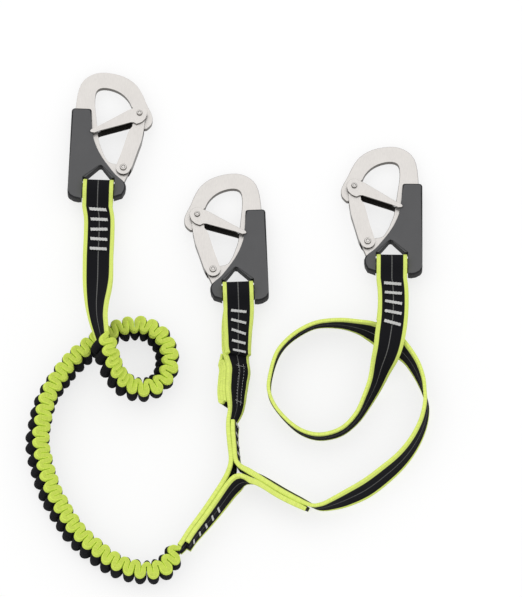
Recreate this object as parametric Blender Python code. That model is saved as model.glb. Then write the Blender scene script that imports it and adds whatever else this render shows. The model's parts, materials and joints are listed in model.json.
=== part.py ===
"""Elastic three-hook safety lanyard lying on a table, +Z up.

Sizes below are in millimetres; the meshes and places are written in metres.
The origin is on the table, under the middle of the three hooks.
"""
import math

import bmesh
import bpy
from mathutils import Matrix, Vector

MM = 0.001
CLEARANCE = 0.3

# Hook: each piece lies in the hook's own plane, x across, y away from the webbing, z its normal.
# Its origin is the middle of the webbing bar.
PLATE_THICK = 5.0
GRIP_THICK = 10.4
GRIP_WALL = 1.2
GRIP_BEVEL = 1.6
BAR_RADIUS = 6.5
SHEET_GATE = 1.2
SHEET_LEVER = 1.4
GATE_PLAY = 1.4
GATE_PIVOT = (-20.5, 20.6)
LEVER_PIVOT = (-32.2, 70.8)
LUG_RADIUS = 5.6
GATE_LOBE_RADIUS = 6.3
GATE_HEAD_RADIUS = 5.2
LEVER_HEAD_RADIUS = 6.5
NOSE_SEAT_RADIUS = 3.8
GATE_PIN_RADIUS = 2.0
LEVER_PIN_RADIUS = 1.8
GATE_RIVET_RADIUS = 2.9
LEVER_RIVET_RADIUS = 2.5
RIVET_HEAD_HEIGHT = 1.1
LEVER_ANGLE = -23.4
LEVER_WEB_START = 7.5
LEVER_WEB_END = 35.0
GATE_WEB_TOP = 36.0
SPRING_WIRE = 0.75
SPRING_GAP = 0.5
HOOK_PITCH = 4.7
RIVET_SIDES = 12
HOLE_SIDES = 16

# Arcs: where each starts and how far it sweeps, in degrees.
NOSE_SEAT_ARC = (200, -140)
LUG_ARC = (38, 175)
LEVER_HEAD_ARC = (72, 150)
LOOP_ARC = (50, 260)
GATE_SPRING_START = 215
LEVER_SPRING_LAST = 270

# Webbing and elastic
WEB_WIDTH = 26.0
WEB_THICK = 3.0
SLOT_SIDE_PLAY = 0.7
SLOT_TOP_PLAY = 0.8
LOOP_CLOSE = 13.5
TAIL_SPARE = 7.0
FLOOR_GAP = 0.4
LAYER_PLAY = 0.7
SLEEVE_THICK = 2.8
SLEEVE_WALL = 0.75
SLEEVE_HEM = 3.0
CORE_THICK = 0.5
CORE_PLAY = 1.2
FOLD_COUNT = 48
FOLD_REACH = 5.5
FOLD_CROWN = 1.5
OVERLOAD_PLIES = 3
OVERLOAD_THICK = 2.3
OVERLOAD_REACH = (-196.5, -157.0)
OVERLOAD_PLAY = 0.8
TACK_LENGTH = 15.0
TACK_WIDTH = 2.0
TACK_HEIGHT = 0.6
TACK_PITCH = 8.6
TACK_COUNT = 5
TACK_PLAY = 0.7
FIRST_TACK = 1.5
WEST_TACK = 6.0
THREAD_WIDTH = 0.6

# Where each hook's webbing bar lies on the table, its turn, which side its spine is on, how steeply
# its webbing leaves the bar, and whether the sewn tail lies above the leg.
HOOKS = {
    1: {"place": (-124.6, -4.2), "turn": -2.1, "side": -1, "rise": 2.0, "tail_above": False},
    2: {"place": (-5.7, -95.2), "turn": 2.1, "side": 1, "rise": 2.0, "tail_above": True},
    3: {"place": (124.2, -71.2), "turn": -0.6, "side": 1, "rise": 20.0, "tail_above": False},
}

# Webbing routes. Each station holds x and y, then the lean of the webbing in degrees, and how far its
# lower edge is lifted off the table. At 0 it stands on edge; at 90 it lies flat, and its upper edge
# then points to the right of the way along the route.
LEG_1 = [
    (-123.5, -29.5, -90, 12.5), (-123.5, -45, -90, 14), (-124, -63, -90, 17), (-124, -82, -84, 20),
    (-124, -99, -64, 23.5), (-124, -113, -47, 27), (-123, -126, -34, 29.5), (-121, -136.5, -26, 31),
    (-119.6, -143.3, -21, 31.5),
]
LEG_2 = [
    (-5.9, -118, 79, 9.4), (-6.7, -127, 68, 7.4), (-7, -137, 61, 6.3), (-7, -147, 57, 6.6),
    (-5.6, -156, 48, 8.2), (-4.6, -165, 45, 8.2), (-6.1, -174, 41, 8.0), (-7.2, -183, 38, 7.8),
    (-7.5, -191.6, 32, 6.8), (-8, -198.5, 25, 4.4), (-9.8, -204.5, 16, 1.5),
]
LEG_3 = [
    (125, -95, 90, 19), (125, -109, 88, 23.5), (124, -123, 82, 26), (122, -137.5, 76, 26.5),
    (119, -151.5, 58, 20), (114, -163.5, 38, 11), (109, -177, 22, 4), (102, -191, 12, 0),
    (94, -205, 4, 0), (82, -216.5, -2, 0), (67.5, -221.5, -6, 0), (54.5, -220.5, -8, 0),
    (41.5, -213.5, -9, 0), (28, -199, -9, 0), (21, -185, -4, 0), (21, -171.5, 0, 0),
    (26, -152.5, 1, 0), (34, -140, 5, 0), (46, -130, 6, 0), (61, -123, 7, 0), (80, -122, 2, 0),
    (95.5, -125, -6, 0), (106.5, -129, -20, 0), (117.5, -135, -30, 0), (127.5, -141, -26, 0),
    (137, -150.5, -15, 0), (144, -161.5, -11, 0), (149, -173.5, -5, 0), (151.5, -184, 2, 0),
    (152.5, -195, 7, 0), (149.5, -210.5, 10, 0), (142, -227, 13, 0), (131, -242, 16, 0),
    (116.5, -255.5, 20, 0), (101.5, -267, 20, 0), (85.5, -275.5, 14, 0), (73, -280.5, 4, 0),
    (63.5, -283, -6, 0),
]
ELASTIC = [
    (-55, -320.5, -4, 0), (-57.5, -324.5, -5, 0), (-62, -330.5, -6, 0), (-68, -336.5, -6, 0),
    (-77.5, -340, -5, 0), (-87.5, -340, -4, 0), (-101, -336, 0, 0), (-116, -328, 5, 0),
    (-129.5, -318, 8, 0), (-142.5, -304, 10, 0), (-153.5, -288, 11, 0), (-163, -268, 13, 0),
    (-170, -247.5, 15, 0), (-173, -224.5, 17, 0), (-170.5, -203, 14, 0), (-163.5, -183, 7, 0),
    (-154.5, -167.5, 1, 0), (-144, -156, -2, 0), (-133, -145.5, -2, 0), (-122.5, -137, 0, 0),
    (-110.5, -130.5, 3, 0), (-100, -126, 5, 0), (-88.5, -125, 5, 0), (-78, -129, 2, 0),
    (-69.5, -137.5, -2, 0), (-65, -148, -7, 0), (-64, -158.5, -11, 0), (-67, -168, -12, 0),
    (-73, -176, -12, 0), (-80.5, -180.5, -9, 1), (-89, -182, -5, 4), (-98, -180, 2, 9),
    (-106, -174.5, 10, 16), (-112, -166.5, 15, 23), (-115.6, -157.5, 18, 28), (-117.6, -149.8, 20, 31),
    (-119.2, -144.2, 21, 31.5),
]

# The three arms of the stitched junction. The middle leg runs down the north arm and on along the
# west arm to the elastic; the long leg runs in along the east arm and ends on the north arm.
WEST_ARM = [(-54.4, -319.9, -1, 0), (-50.5, -315.3, -4, 0), (-45.1, -306.8, -5, 0),
            (-34.9, -293.7, -9, 0), (-24.5, -279.5, -13, 0)]
NORTH_ARM = [(-9.9, -245, -8, 0), (-11.4, -231, -7, 0), (-12.4, -219, -7, 0), (-12, -210.5, -9, 0)]
EAST_ARM = [(4.6, -253.2, 12, 0), (16.4, -259.4, 17, 0), (33.9, -270.3, 18, 0), (54.5, -281.3, 16, 0)]
WEST_BEND = [(-15.6, -265, -13, 0), (-11.6, -254.5, -9, 0)]
CORNER = [(-2.9, -249.6, -8, 0)]
CROTCH = [(-12.2, -268.6, -16, 0), (-6.8, -262.8, -16, 0), (-3, -260.6, -8, 0), (0.6, -260.4, 6, 0),
          (6, -261.8, 15, 0)]
EAST_LAYERS = 1.2

STEEL = ("stainless_steel", (0.62, 0.60, 0.57, 1.0), 0.32, 1.0)
SPRING_STEEL = ("spring_steel", (0.50, 0.50, 0.50, 1.0), 0.30, 1.0)
RUBBER = ("dark_grey_rubber", (0.075, 0.075, 0.08, 1.0), 0.60, 0.0)
BLACK_WEBBING = ("black_webbing", (0.012, 0.012, 0.015, 1.0), 0.85, 0.0)
LIME_WEBBING = ("lime_webbing", (0.55, 0.75, 0.06, 1.0), 0.80, 0.0)
LATEX = ("elastic_band", (0.70, 0.66, 0.52, 1.0), 0.70, 0.0)
THREAD = ("light_grey_thread", (0.52, 0.52, 0.52, 1.0), 0.75, 0.0)


def clear_objects():
    for obj in list(bpy.data.objects):
        bpy.data.objects.remove(obj, do_unlink=True)


def material(finish):
    name, colour, roughness, metallic = finish
    found = bpy.data.materials.get(name)
    if found is None:
        found = bpy.data.materials.new(name)
        found.use_nodes = True
        shader = found.node_tree.nodes["Principled BSDF"]
        shader.inputs["Base Color"].default_value = colour
        shader.inputs["Roughness"].default_value = roughness
        shader.inputs["Metallic"].default_value = metallic
        found.diffuse_color = colour
    return found


def add_object(name, data, finish=None, parent=None, place=(0, 0, 0)):
    obj = bpy.data.objects.new(name, data)
    bpy.context.collection.objects.link(obj)
    obj.location = Vector(place) * MM
    obj.parent = parent
    if finish is not None:
        data.materials.append(material(finish))
    return obj


def add_axis(name, place, parent=None, rotation=(0, 0, 0)):
    empty = add_object(name, None, parent=parent, place=place)
    empty.rotation_euler = [math.radians(angle) for angle in rotation]
    return empty


def close_mesh(name, bm):
    """Turn a bmesh in millimetres into a mesh in metres with its faces pointing out."""
    bmesh.ops.scale(bm, vec=(MM, MM, MM), verts=bm.verts)
    bmesh.ops.recalc_face_normals(bm, faces=bm.faces)
    mesh = bpy.data.meshes.new(name)
    bm.to_mesh(mesh)
    bm.free()
    mesh.shade_smooth()
    mesh.set_sharp_from_angle(angle=math.radians(35))
    return mesh


def add_prism(bm, outline, z_low, z_high):
    """Add the closed solid that an outline sweeps from one height to another."""
    low = [bm.verts.new((x, y, z_low)) for x, y in outline]
    high = [bm.verts.new((x, y, z_high)) for x, y in outline]
    bm.faces.new(low[::-1])
    bm.faces.new(high)
    count = len(outline)
    for i in range(count):
        j = (i + 1) % count
        bm.faces.new((low[i], low[j], high[j], high[i]))


def prism(name, outline, half_thick, bevel=0.0):
    bm = bmesh.new()
    add_prism(bm, outline, -half_thick, half_thick)
    if bevel:
        rim = [edge for edge in bm.edges if edge.verts[0].co.z == edge.verts[1].co.z]
        bmesh.ops.bevel(bm, geom=rim, offset=bevel, segments=2, profile=0.5, affect="EDGES")
    return close_mesh(name, bm)


def add_ring_stack(bm, rings):
    """Skin a run of equal rings and cap both ends."""
    loops = [[bm.verts.new(point) for point in ring] for ring in rings]
    sides = len(loops[0])
    for first, second in zip(loops, loops[1:]):
        for i in range(sides):
            j = (i + 1) % sides
            bm.faces.new((first[i], first[j], second[j], second[i]))
    bm.faces.new(loops[0][::-1])
    bm.faces.new(loops[-1])


def circle(centre, radius, sides, start=0.0, sweep=360.0):
    """Points on an arc; a full circle leaves out the repeated last point."""
    steps = sides + (0 if sweep == 360.0 else 1)
    turn = math.radians(sweep) / sides
    first = math.radians(start)
    return [(centre[0] + radius * math.cos(first + i * turn),
             centre[1] + radius * math.sin(first + i * turn)) for i in range(steps)]


def smooth(points, steps):
    """A curve through hand-chosen points, with a number of steps between each pair."""
    vectors = [Vector(point) for point in points]
    padded = [2 * vectors[0] - vectors[1]] + vectors + [2 * vectors[-1] - vectors[-2]]
    curve = []
    for before, start, end, after in zip(padded, padded[1:], padded[2:], padded[3:]):
        for i in range(steps):
            t = i / steps
            curve.append(0.5 * (2 * start + (end - before) * t
                                + (2 * before - 5 * start + 4 * end - after) * t ** 2
                                + (3 * start - before - 3 * end + after) * t ** 3))
    curve.append(vectors[-1])
    return curve


def smooth_outline(points, steps=2):
    return [(point.x, point.y) for point in smooth(points, steps)]


def grow(outline, distance):
    """Move each side of a closed outline outwards by a distance."""
    count = len(outline)
    area = sum(outline[i - 1][0] * outline[i][1] - outline[i][0] * outline[i - 1][1]
               for i in range(count))
    sign = 1.0 if area > 0 else -1.0
    grown = []
    for i in range(count):
        here = Vector(outline[i])
        before = (here - Vector(outline[i - 1])).normalized()
        after = (Vector(outline[(i + 1) % count]) - here).normalized()
        normal = Vector((before.y + after.y, -before.x - after.x)).normalized()
        lean = max(0.5, normal.dot(Vector((after.y, -after.x))))
        grown.append(tuple(here + normal * (sign * distance / lean)))
    return grown


def flip(outline, side):
    return [(side * x, y) for x, y in outline]


def hide_cutter(obj):
    obj.hide_render = True
    obj.display_type = "WIRE"


def combine(obj, tool, operation="DIFFERENCE"):
    modifier = obj.modifiers.new(operation.lower(), "BOOLEAN")
    modifier.operation = operation
    modifier.solver = "EXACT"
    modifier.object = tool
    hide_cutter(tool)


def gate_direction():
    return (Vector(LEVER_PIVOT) - Vector(GATE_PIVOT)).normalized()


def pivot_distance():
    return (Vector(LEVER_PIVOT) - Vector(GATE_PIVOT)).length


def gate_point(along, across):
    """A point from the gate's pivot: along towards the lever's pivot, across towards the spine."""
    way = gate_direction()
    return (way.x * along + way.y * across, way.y * along - way.x * across)


def lever_point(along, across):
    angle = math.radians(LEVER_ANGLE)
    return (math.cos(angle) * along - math.sin(angle) * across,
            math.sin(angle) * along + math.cos(angle) * across)


def half_gate_inner():
    return PLATE_THICK / 2 + GATE_PLAY


def half_gate_outer():
    return half_gate_inner() + SHEET_GATE


def half_lever_inner():
    return max(GRIP_THICK / 2, half_gate_outer()) + CLEARANCE


def half_lever_outer():
    return half_lever_inner() + SHEET_LEVER


def rivet_reach(half_sheet):
    return half_sheet + CLEARANCE + RIVET_HEAD_HEIGHT


def loop_radius():
    """The webbing's middle runs round the bar at this radius."""
    return BAR_RADIUS + CLEARANCE + WEB_THICK / 2


def slot_half_width():
    return WEB_WIDTH / 2 + SLOT_SIDE_PLAY


def slot_shoulder():
    return loop_radius() + WEB_THICK / 2 + SLOT_TOP_PLAY


def slot_outline():
    half = slot_half_width()
    return [(-half, BAR_RADIUS), (half, BAR_RADIUS), (half, slot_shoulder()), (0.8, 21.3), (-1.4, 22.1),
            (-3.2, 21.0), (-half, slot_shoulder())]


def plate_outline():
    """Steel plate: bar, spine, arch, nose, then back along the inside of the arch to the gate lug."""
    lug = (GATE_PIVOT[0], GATE_PIVOT[1])
    seat = (LEVER_PIVOT[0], LEVER_PIVOT[1])
    outer = [(22.8, 62), (22.5, 74), (21.4, 88), (18.8, 98), (13.4, 104.6), (6.1, 108.3), (-2, 109.2),
             (-12.5, 107.6), (-21.4, 104.0), (-29, 97.8), (-34.3, 89), (-37.4, 81.8), (-41, 74.8),
             (-43.4, 68.5), (-42.6, 62.4), (-38.8, 58.2)]
    inner = [(-25.1, 78), (-22.8, 83), (-18.2, 88.4), (-12.5, 92.2), (-6, 94.4), (-0.2, 94.8),
             (4.1, 93.2), (6.1, 89), (6.3, 81), (5.4, 72), (3.7, 60.1), (1.8, 46.8), (-0.6, 39.8),
             (-3.4, 32.6), (-7.2, 26.4)]
    nose_seat = circle(seat, NOSE_SEAT_RADIUS, 6, *NOSE_SEAT_ARC)
    return ([(-16.4, -4.4), (19.6, -4.4), (22.6, -1.4)] + smooth_outline(outer)
            + [(-36.6, 57.8), (-35.6, 60)] + nose_seat + smooth_outline(inner)
            + [(-10.6, 24.9)] + circle(lug, LUG_RADIUS, 8, *LUG_ARC)
            + [(-24.4, 14.5), (-22.3, 9.3), (-20.6, 4.6), (-19.8, 0)])


def plate_slot():
    slot = grow(slot_outline(), GRIP_WALL)
    return [(x, y if y > BAR_RADIUS else BAR_RADIUS - 2.1) for x, y in slot]


def grip_outline():
    heel = circle((19.9, -2.6), 6.0, 4, -60, 60)
    shoulder = circle((22.9, 71.6), 2.8, 4, 0, 90)
    front = [(5.6, 45.2), (2.4, 37.2), (-2.4, 28.7), (-8.3, 20.7), (-13.9, 13.8), (-19.3, 9.3)]
    return ([(-13.4, -7.7), (12.6, -9.0), (16.5, -9.8), (20.4, -9.0)] + heel[1:] + [(25.7, 71.6)]
            + shoulder[1:] + [(8.9, 74.4), (7.8, 58.5), (6.1, 47.1)] + smooth_outline(front)
            + [(-22.3, 7.0), (-23.5, 3.7), (-22.9, -0.6), (-20.6, -5.0)])


def build_plate(hook, side, root):
    bm = bmesh.new()
    add_prism(bm, flip(plate_outline(), side), -PLATE_THICK / 2, PLATE_THICK / 2)
    obj = add_object(f"hook_{hook}_plate", close_mesh("plate", bm), STEEL, root)
    bm = bmesh.new()
    add_prism(bm, flip(plate_slot(), side), -PLATE_THICK, PLATE_THICK)
    pin_hole = circle((side * GATE_PIVOT[0], GATE_PIVOT[1]), GATE_PIN_RADIUS + CLEARANCE, HOLE_SIDES)
    add_prism(bm, pin_hole, -PLATE_THICK, PLATE_THICK)
    combine(obj, add_object(f"cut_plate_{hook}", close_mesh("plate_holes", bm), parent=root))


def build_grip(hook, side, root):
    half = GRIP_THICK / 2
    body = prism("grip", flip(grip_outline(), side), half, GRIP_BEVEL)
    obj = add_object(f"hook_{hook}_grip", body, RUBBER, root)
    width = slot_half_width()
    opening = [(-width, -15), (width, -15)] + slot_outline()[2:]
    slot = prism("slot", flip(opening, side), GRIP_THICK)
    combine(obj, add_object(f"cut_slot_{hook}", slot, parent=root))
    bm = bmesh.new()
    section = [(half * math.cos(t), BAR_RADIUS * math.sin(t)) for t in
               [2 * math.pi * i / HOLE_SIDES for i in range(HOLE_SIDES)]]
    reach = width + 1.5
    add_ring_stack(bm, [[(x, y, z) for z, y in section] for x in (-reach, reach)])
    combine(obj, add_object(f"join_bar_{hook}", close_mesh("bar", bm), parent=root), "UNION")
    bm = bmesh.new()
    pocket = grow(plate_outline(), CLEARANCE)
    add_prism(bm, flip(pocket, side), -PLATE_THICK / 2 - CLEARANCE, PLATE_THICK / 2 + CLEARANCE)
    obj_pocket = add_object(f"cut_pocket_{hook}", close_mesh("pocket", bm), parent=root)
    bm = bmesh.new()
    island = grow(plate_slot(), -CLEARANCE)
    add_prism(bm, flip(island, side), -PLATE_THICK, PLATE_THICK)
    combine(obj_pocket, add_object(f"cut_island_{hook}", close_mesh("island", bm), parent=root))
    combine(obj, obj_pocket)


def gate_outline():
    reach = pivot_distance()
    head = [gate_point(reach + GATE_HEAD_RADIUS * math.sin(t), -GATE_HEAD_RADIUS * math.cos(t))
            for t in [math.pi * i / 8 for i in range(9)]]
    lobe = [gate_point(-GATE_LOBE_RADIUS * math.sin(t), GATE_LOBE_RADIUS * math.cos(t))
            for t in [math.pi * i / 8 for i in range(9)]]
    left = [gate_point(*p) for p in [(3, -7.0), (17, -7.6), (27.5, -8.3), (37, -7.6), (45, -6.2)]]
    right = [gate_point(*p) for p in
             [(44, 3.6), (38.4, 2.8), (35, 4.2), (31.7, 4.8), (15.5, 5.1), (4.2, 5.9)]]
    return lobe + left + head + right


def build_gate(hook, side, axis):
    outer = half_gate_outer()
    inner = half_gate_inner()
    obj = add_object(f"hook_{hook}_gate", prism("gate", flip(gate_outline(), side), outer), STEEL, axis)
    reach = pivot_distance()
    web = [gate_point(along, across + SHEET_GATE) for along, across in
           [(1.0, -7.0), (17, -7.6), (27.5, -8.3), (GATE_WEB_TOP, -7.7)]]
    channel = ([gate_point(-15, 20), gate_point(-15, -20), gate_point(1.0, -20)] + web
               + [gate_point(GATE_WEB_TOP, -20), gate_point(reach + 15, -20), gate_point(reach + 15, 20)])
    folded = prism("gate_channel", flip(channel, side), inner)
    combine(obj, add_object(f"cut_gate_{hook}", folded, parent=axis))
    top = gate_point(reach, 0)
    bm = bmesh.new()
    for centre, radius in (((0, 0), GATE_PIN_RADIUS), ((side * top[0], top[1]), LEVER_PIN_RADIUS)):
        add_prism(bm, circle(centre, radius + CLEARANCE, HOLE_SIDES), -GRIP_THICK, GRIP_THICK)
    combine(obj, add_object(f"cut_gate_pins_{hook}", close_mesh("gate_holes", bm), parent=axis))


def lever_top_edge():
    return [(43.5, 0.7), (37.4, 1.2), (23.4, 3.6), (7.9, 5.9)]


def level_at(first, second, along):
    """Height of the line through two points at a place along it."""
    slope = (second[1] - first[1]) / (second[0] - first[0])
    return first[1] + slope * (along - first[0])


def lever_outline():
    lower = [(-2.4, -7.0), (1.4, -8.6), (4.9, -8.7), (6.2, -8.4), (7.7, -6.4), (10.2, -5.4),
             (20.6, -4.4), (36.6, -3.1), (42.4, -3.1), (44.9, -1.7), (45.1, -0.3)]
    head = circle((0, 0), LEVER_HEAD_RADIUS, 8, *LEVER_HEAD_ARC)
    return [lever_point(*p) for p in lower + lever_top_edge() + head]


def build_lever(hook, side, axis):
    outer = half_lever_outer()
    inner = half_lever_inner()
    body = prism("lever", flip(lever_outline(), side), outer)
    obj = add_object(f"hook_{hook}_lever", body, STEEL, axis)
    _, far, middle, near = lever_top_edge()
    web_start = level_at(middle, near, LEVER_WEB_START) - SHEET_LEVER
    web_end = level_at(far, middle, LEVER_WEB_END) - SHEET_LEVER
    channel = [(-20, -20), (60, -20), (60, 20), (LEVER_WEB_END, 20), (LEVER_WEB_END, web_end),
               (middle[0], middle[1] - SHEET_LEVER), (LEVER_WEB_START, web_start),
               (LEVER_WEB_START, 20), (-20, 20)]
    folded = prism("lever_channel", flip([lever_point(*p) for p in channel], side), inner)
    combine(obj, add_object(f"cut_lever_{hook}", folded, parent=axis))
    hole = circle((0, 0), LEVER_PIN_RADIUS + CLEARANCE, HOLE_SIDES)
    combine(obj, add_object(f"cut_lever_pin_{hook}", prism("lever_hole", hole, GRIP_THICK), parent=axis))


def build_rivet(name, parent, pin_radius, head_radius, half_sheet):
    """A round pin with a low domed head outside each outer sheet."""
    seat = half_sheet + CLEARANCE
    top = seat + RIVET_HEAD_HEIGHT
    profile = [(top, head_radius * 0.7), (top - 0.35, head_radius * 0.95),
               (seat, head_radius), (seat, pin_radius)]
    stack = profile + [(-z, r) for z, r in reversed(profile)]
    bm = bmesh.new()
    add_ring_stack(bm, [[(x, y, z) for x, y in circle((0, 0), r, RIVET_SIDES)] for z, r in stack])
    add_object(name, close_mesh("rivet", bm), STEEL, parent)


def wire(name, points, parent):
    """One unbroken round wire with filled ends."""
    curve = bpy.data.curves.new(name, "CURVE")
    curve.dimensions = "3D"
    curve.bevel_depth = SPRING_WIRE / 2 * MM
    curve.bevel_resolution = 1
    curve.use_fill_caps = True
    spline = curve.splines.new("POLY")
    spline.points.add(len(points) - 1)
    for slot, point in zip(spline.points, points):
        slot.co = (point[0] * MM, point[1] * MM, point[2] * MM, 1.0)
    add_object(name, curve, SPRING_STEEL, parent)


def least_gap(points, per_turn):
    """Smallest surface gap between parts of a wire that are at least three quarters of a turn apart."""
    apart = int(per_turn * 0.75)
    vectors = [Vector(point) for point in points]
    nearest = min((a - b).length for i, a in enumerate(vectors) for b in vectors[i + apart:])
    return nearest - SPRING_WIRE


def gate_spring_points(side):
    """A flat spiral beside the lug, with a leg up the inside of the gate."""
    per_turn = 10
    turns = 1.6
    height = PLATE_THICK / 2 + GATE_PLAY / 2
    start = GATE_PIN_RADIUS + CLEARANCE + SPRING_WIRE / 2
    growth = SPRING_WIRE + SPRING_GAP
    points = []
    for i in range(int(per_turn * turns) + 1):
        angle = math.radians(GATE_SPRING_START) + 2 * math.pi * i / per_turn
        radius = start + growth * i / per_turn
        points.append((side * radius * math.cos(angle), radius * math.sin(angle), height))
    leg = gate_point(17, -3.6)
    return points + [(side * leg[0], leg[1], height)], per_turn


def lever_spring_points(side):
    """A coil round the lever's pin, with one leg along the lever and one down the gate."""
    per_turn = 9
    turns = 2
    pitch = SPRING_WIRE + SPRING_GAP
    radius = LEVER_PIN_RADIUS + CLEARANCE + SPRING_WIRE / 2
    down = gate_direction() * -1
    start = 90 + LEVER_ANGLE
    sweep = 360 * turns + math.degrees(math.atan2(down.y, down.x)) + LEVER_SPRING_LAST - start
    steps = round(per_turn * sweep / 360)
    low = -pitch * sweep / 720
    first = lever_point(7.0, radius)
    points = [(side * first[0], first[1], low)]
    for i in range(steps + 1):
        angle = math.radians(start + sweep * i / steps)
        height = low - 2 * low * i / steps
        points.append((side * radius * math.cos(angle), radius * math.sin(angle), height))
    last = Vector((side * points[-1][0], points[-1][1])) + down * 6.0
    return points + [(side * last.x, last.y, -low)], per_turn


def bar_height():
    """Height of the bar's axis when the lever's rivet and the webbing carry the hook."""
    pitch = math.radians(HOOK_PITCH)
    far = LEVER_PIVOT[1] + LEVER_RIVET_RADIUS
    return far * math.sin(pitch) + rivet_reach(half_lever_outer()) * math.cos(pitch)


def build_hook(hook, layout):
    side = layout["side"]
    place = (layout["place"][0], layout["place"][1], bar_height())
    root = add_axis(f"hook_{hook}_bar_axis", place, rotation=(-HOOK_PITCH, 0, layout["turn"]))
    build_plate(hook, side, root)
    build_grip(hook, side, root)
    pivot = (side * GATE_PIVOT[0], GATE_PIVOT[1], 0)
    gate_pin = add_axis(f"hook_{hook}_gate_pin", pivot, root)
    build_rivet(f"hook_{hook}_gate_rivet", gate_pin, GATE_PIN_RADIUS, GATE_RIVET_RADIUS,
                half_gate_outer())
    gate_axis = add_axis(f"hook_{hook}_gate_axis", pivot, root)
    build_gate(hook, side, gate_axis)
    top = gate_point(pivot_distance(), 0)
    lever_axis = add_axis(f"hook_{hook}_lever_axis", (side * top[0], top[1], 0), gate_axis)
    build_lever(hook, side, lever_axis)
    build_rivet(f"hook_{hook}_lever_rivet", lever_axis, LEVER_PIN_RADIUS, LEVER_RIVET_RADIUS,
                half_lever_outer())
    for name, axis, (points, per_turn) in (
            ("gate_spring", gate_axis, gate_spring_points(side)),
            ("lever_spring", lever_axis, lever_spring_points(side))):
        wire(f"hook_{hook}_{name}", points, axis)
        if hook == 1:
            print(f"{name}: least gap to itself {least_gap(points, per_turn):.2f} mm")


def heading(stations, i):
    before = stations[max(i - 1, 0)]
    after = stations[min(i + 1, len(stations) - 1)]
    return Vector((after[0] - before[0], after[1] - before[1], 0)).normalized()


def stand(stations, reach=WEB_THICK / 2):
    """Each station's middle and its upper edge's direction, with the lower edge on the table or above."""
    poses = []
    for i, (x, y, lean, lift) in enumerate(stations):
        angle = math.radians(lean)
        right = heading(stations, i).cross(Vector((0, 0, 1)))
        edge = right * math.sin(angle) + Vector((0, 0, math.cos(angle)))
        height = lift + FLOOR_GAP + WEB_WIDTH / 2 * math.cos(angle) + reach * abs(math.sin(angle))
        poses.append((Vector((x, y, height)), edge))
    return poses


def beside(stations, layers):
    """The same route, some layers of webbing further to the right."""
    moved = []
    for i, (x, y, lean, lift) in enumerate(stations):
        way = heading(stations, i)
        shift = layers * (WEB_THICK + LAYER_PLAY) / math.cos(math.radians(lean))
        moved.append((x + way.y * shift, y - way.x * shift, lean, lift))
    return moved


def back(stations):
    return [(x, y, -lean, lift) for x, y, lean, lift in reversed(stations)]


def route_curve(poses, steps):
    """A smooth middle line with its edge directions and the length up to each point."""
    middle = smooth([pose[0] for pose in poses], steps)
    upward = smooth([pose[1] for pose in poses], steps)
    return middle, upward, running_lengths(middle)


def running_lengths(points):
    lengths = [0.0]
    for a, b in zip(points, points[1:]):
        lengths.append(lengths[-1] + (b - a).length)
    return lengths


def route_frames(poses, spacing):
    middle, upward, lengths = route_curve(poses, 16)
    steps = max(2, round(lengths[-1] / spacing))
    return resample(middle, upward, lengths, [lengths[-1] * i / steps for i in range(steps + 1)])


def resample(middle, upward, lengths, places):
    frames = []
    i = 0
    for place in places:
        while i < len(lengths) - 2 and lengths[i + 1] < place:
            i += 1
        t = (place - lengths[i]) / (lengths[i + 1] - lengths[i])
        frames.append((middle[i].lerp(middle[i + 1], t), upward[i].lerp(upward[i + 1], t).normalized()))
    return frames


def with_normals(frames):
    """Add each frame's face normal, stretched at bends so that the thickness stays true."""
    full = []
    last = len(frames) - 1
    for i, (centre, edge) in enumerate(frames):
        before = (centre - frames[max(i - 1, 0)][0]).normalized() if i else None
        after = (frames[min(i + 1, last)][0] - centre).normalized() if i < last else None
        ahead = after if before is None else before if after is None else (before + after).normalized()
        normal = ahead.cross(edge).normalized()
        bend = 1.0 if before is None or after is None else max(0.6, ahead.dot(after))
        full.append((centre, edge, normal, normal / bend))
    return full


def band_rings(frames, width, thick, ridge=True):
    """Cross sections of a band; twisted bands have a middle line that halves each face."""
    rings = []
    for centre, edge, _, normal in frames:
        across = edge * (width / 2)
        through = normal * (thick / 2)
        rings.append([centre - across - through, centre - through, centre + across - through,
                      centre + across + through, centre + through, centre - across + through])
    if not ridge:
        rings = [[ring[i] for i in (0, 2, 3, 5)] for ring in rings]
    return rings


def band(name, frames, width, thick, finish, ridge=False):
    bm = bmesh.new()
    add_ring_stack(bm, band_rings(frames, width, thick, ridge))
    return add_object(name, close_mesh(name, bm), finish)


def hollow_band(name, frames, width, thick, wall, hem, finish):
    """A flat tube, open at both ends; the hem is the wall along its two edges."""
    bm = bmesh.new()
    outside = band_rings(frames, width, thick, False)
    inside = band_rings(frames, width - 2 * hem, thick - 2 * wall, False)
    outer = [[bm.verts.new(p) for p in ring] for ring in outside]
    inner = [[bm.verts.new(p) for p in ring] for ring in inside]
    for rings, order in ((outer, 1), (inner, -1)):
        for first, second in zip(rings, rings[1:]):
            for i in range(len(first)):
                j = (i + 1) % len(first)
                bm.faces.new((first[i], first[j], second[j], second[i])[::order])
    for a, b, order in ((outer[0], inner[0], -1), (outer[-1], inner[-1], 1)):
        for i in range(len(a)):
            j = (i + 1) % len(a)
            bm.faces.new((a[i], a[j], b[j], b[i])[::order])
    return add_object(name, close_mesh(name, bm), finish)


def loop_points(bar, leg_way, upper_first):
    """The webbing's middle round the bar, from one layer to the other."""
    radius = loop_radius()
    half_pair = (WEB_THICK + CLEARANCE) / 2
    profile = [(LOOP_CLOSE, half_pair + 0.1), (LOOP_CLOSE - 2.6, half_pair + 0.8),
               (LOOP_CLOSE - 5.4, 4.1)]
    arc = circle((0, 0), radius, 12, *LOOP_ARC)
    route = profile + arc + [(along, -up) for along, up in reversed(profile)]
    if not upper_first:
        route = route[::-1]
    up_way = Vector((0, 0, 1)) - leg_way * leg_way.z
    up_way.normalize()
    return [bar + leg_way * along + up_way * up for along, up in route]


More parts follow.
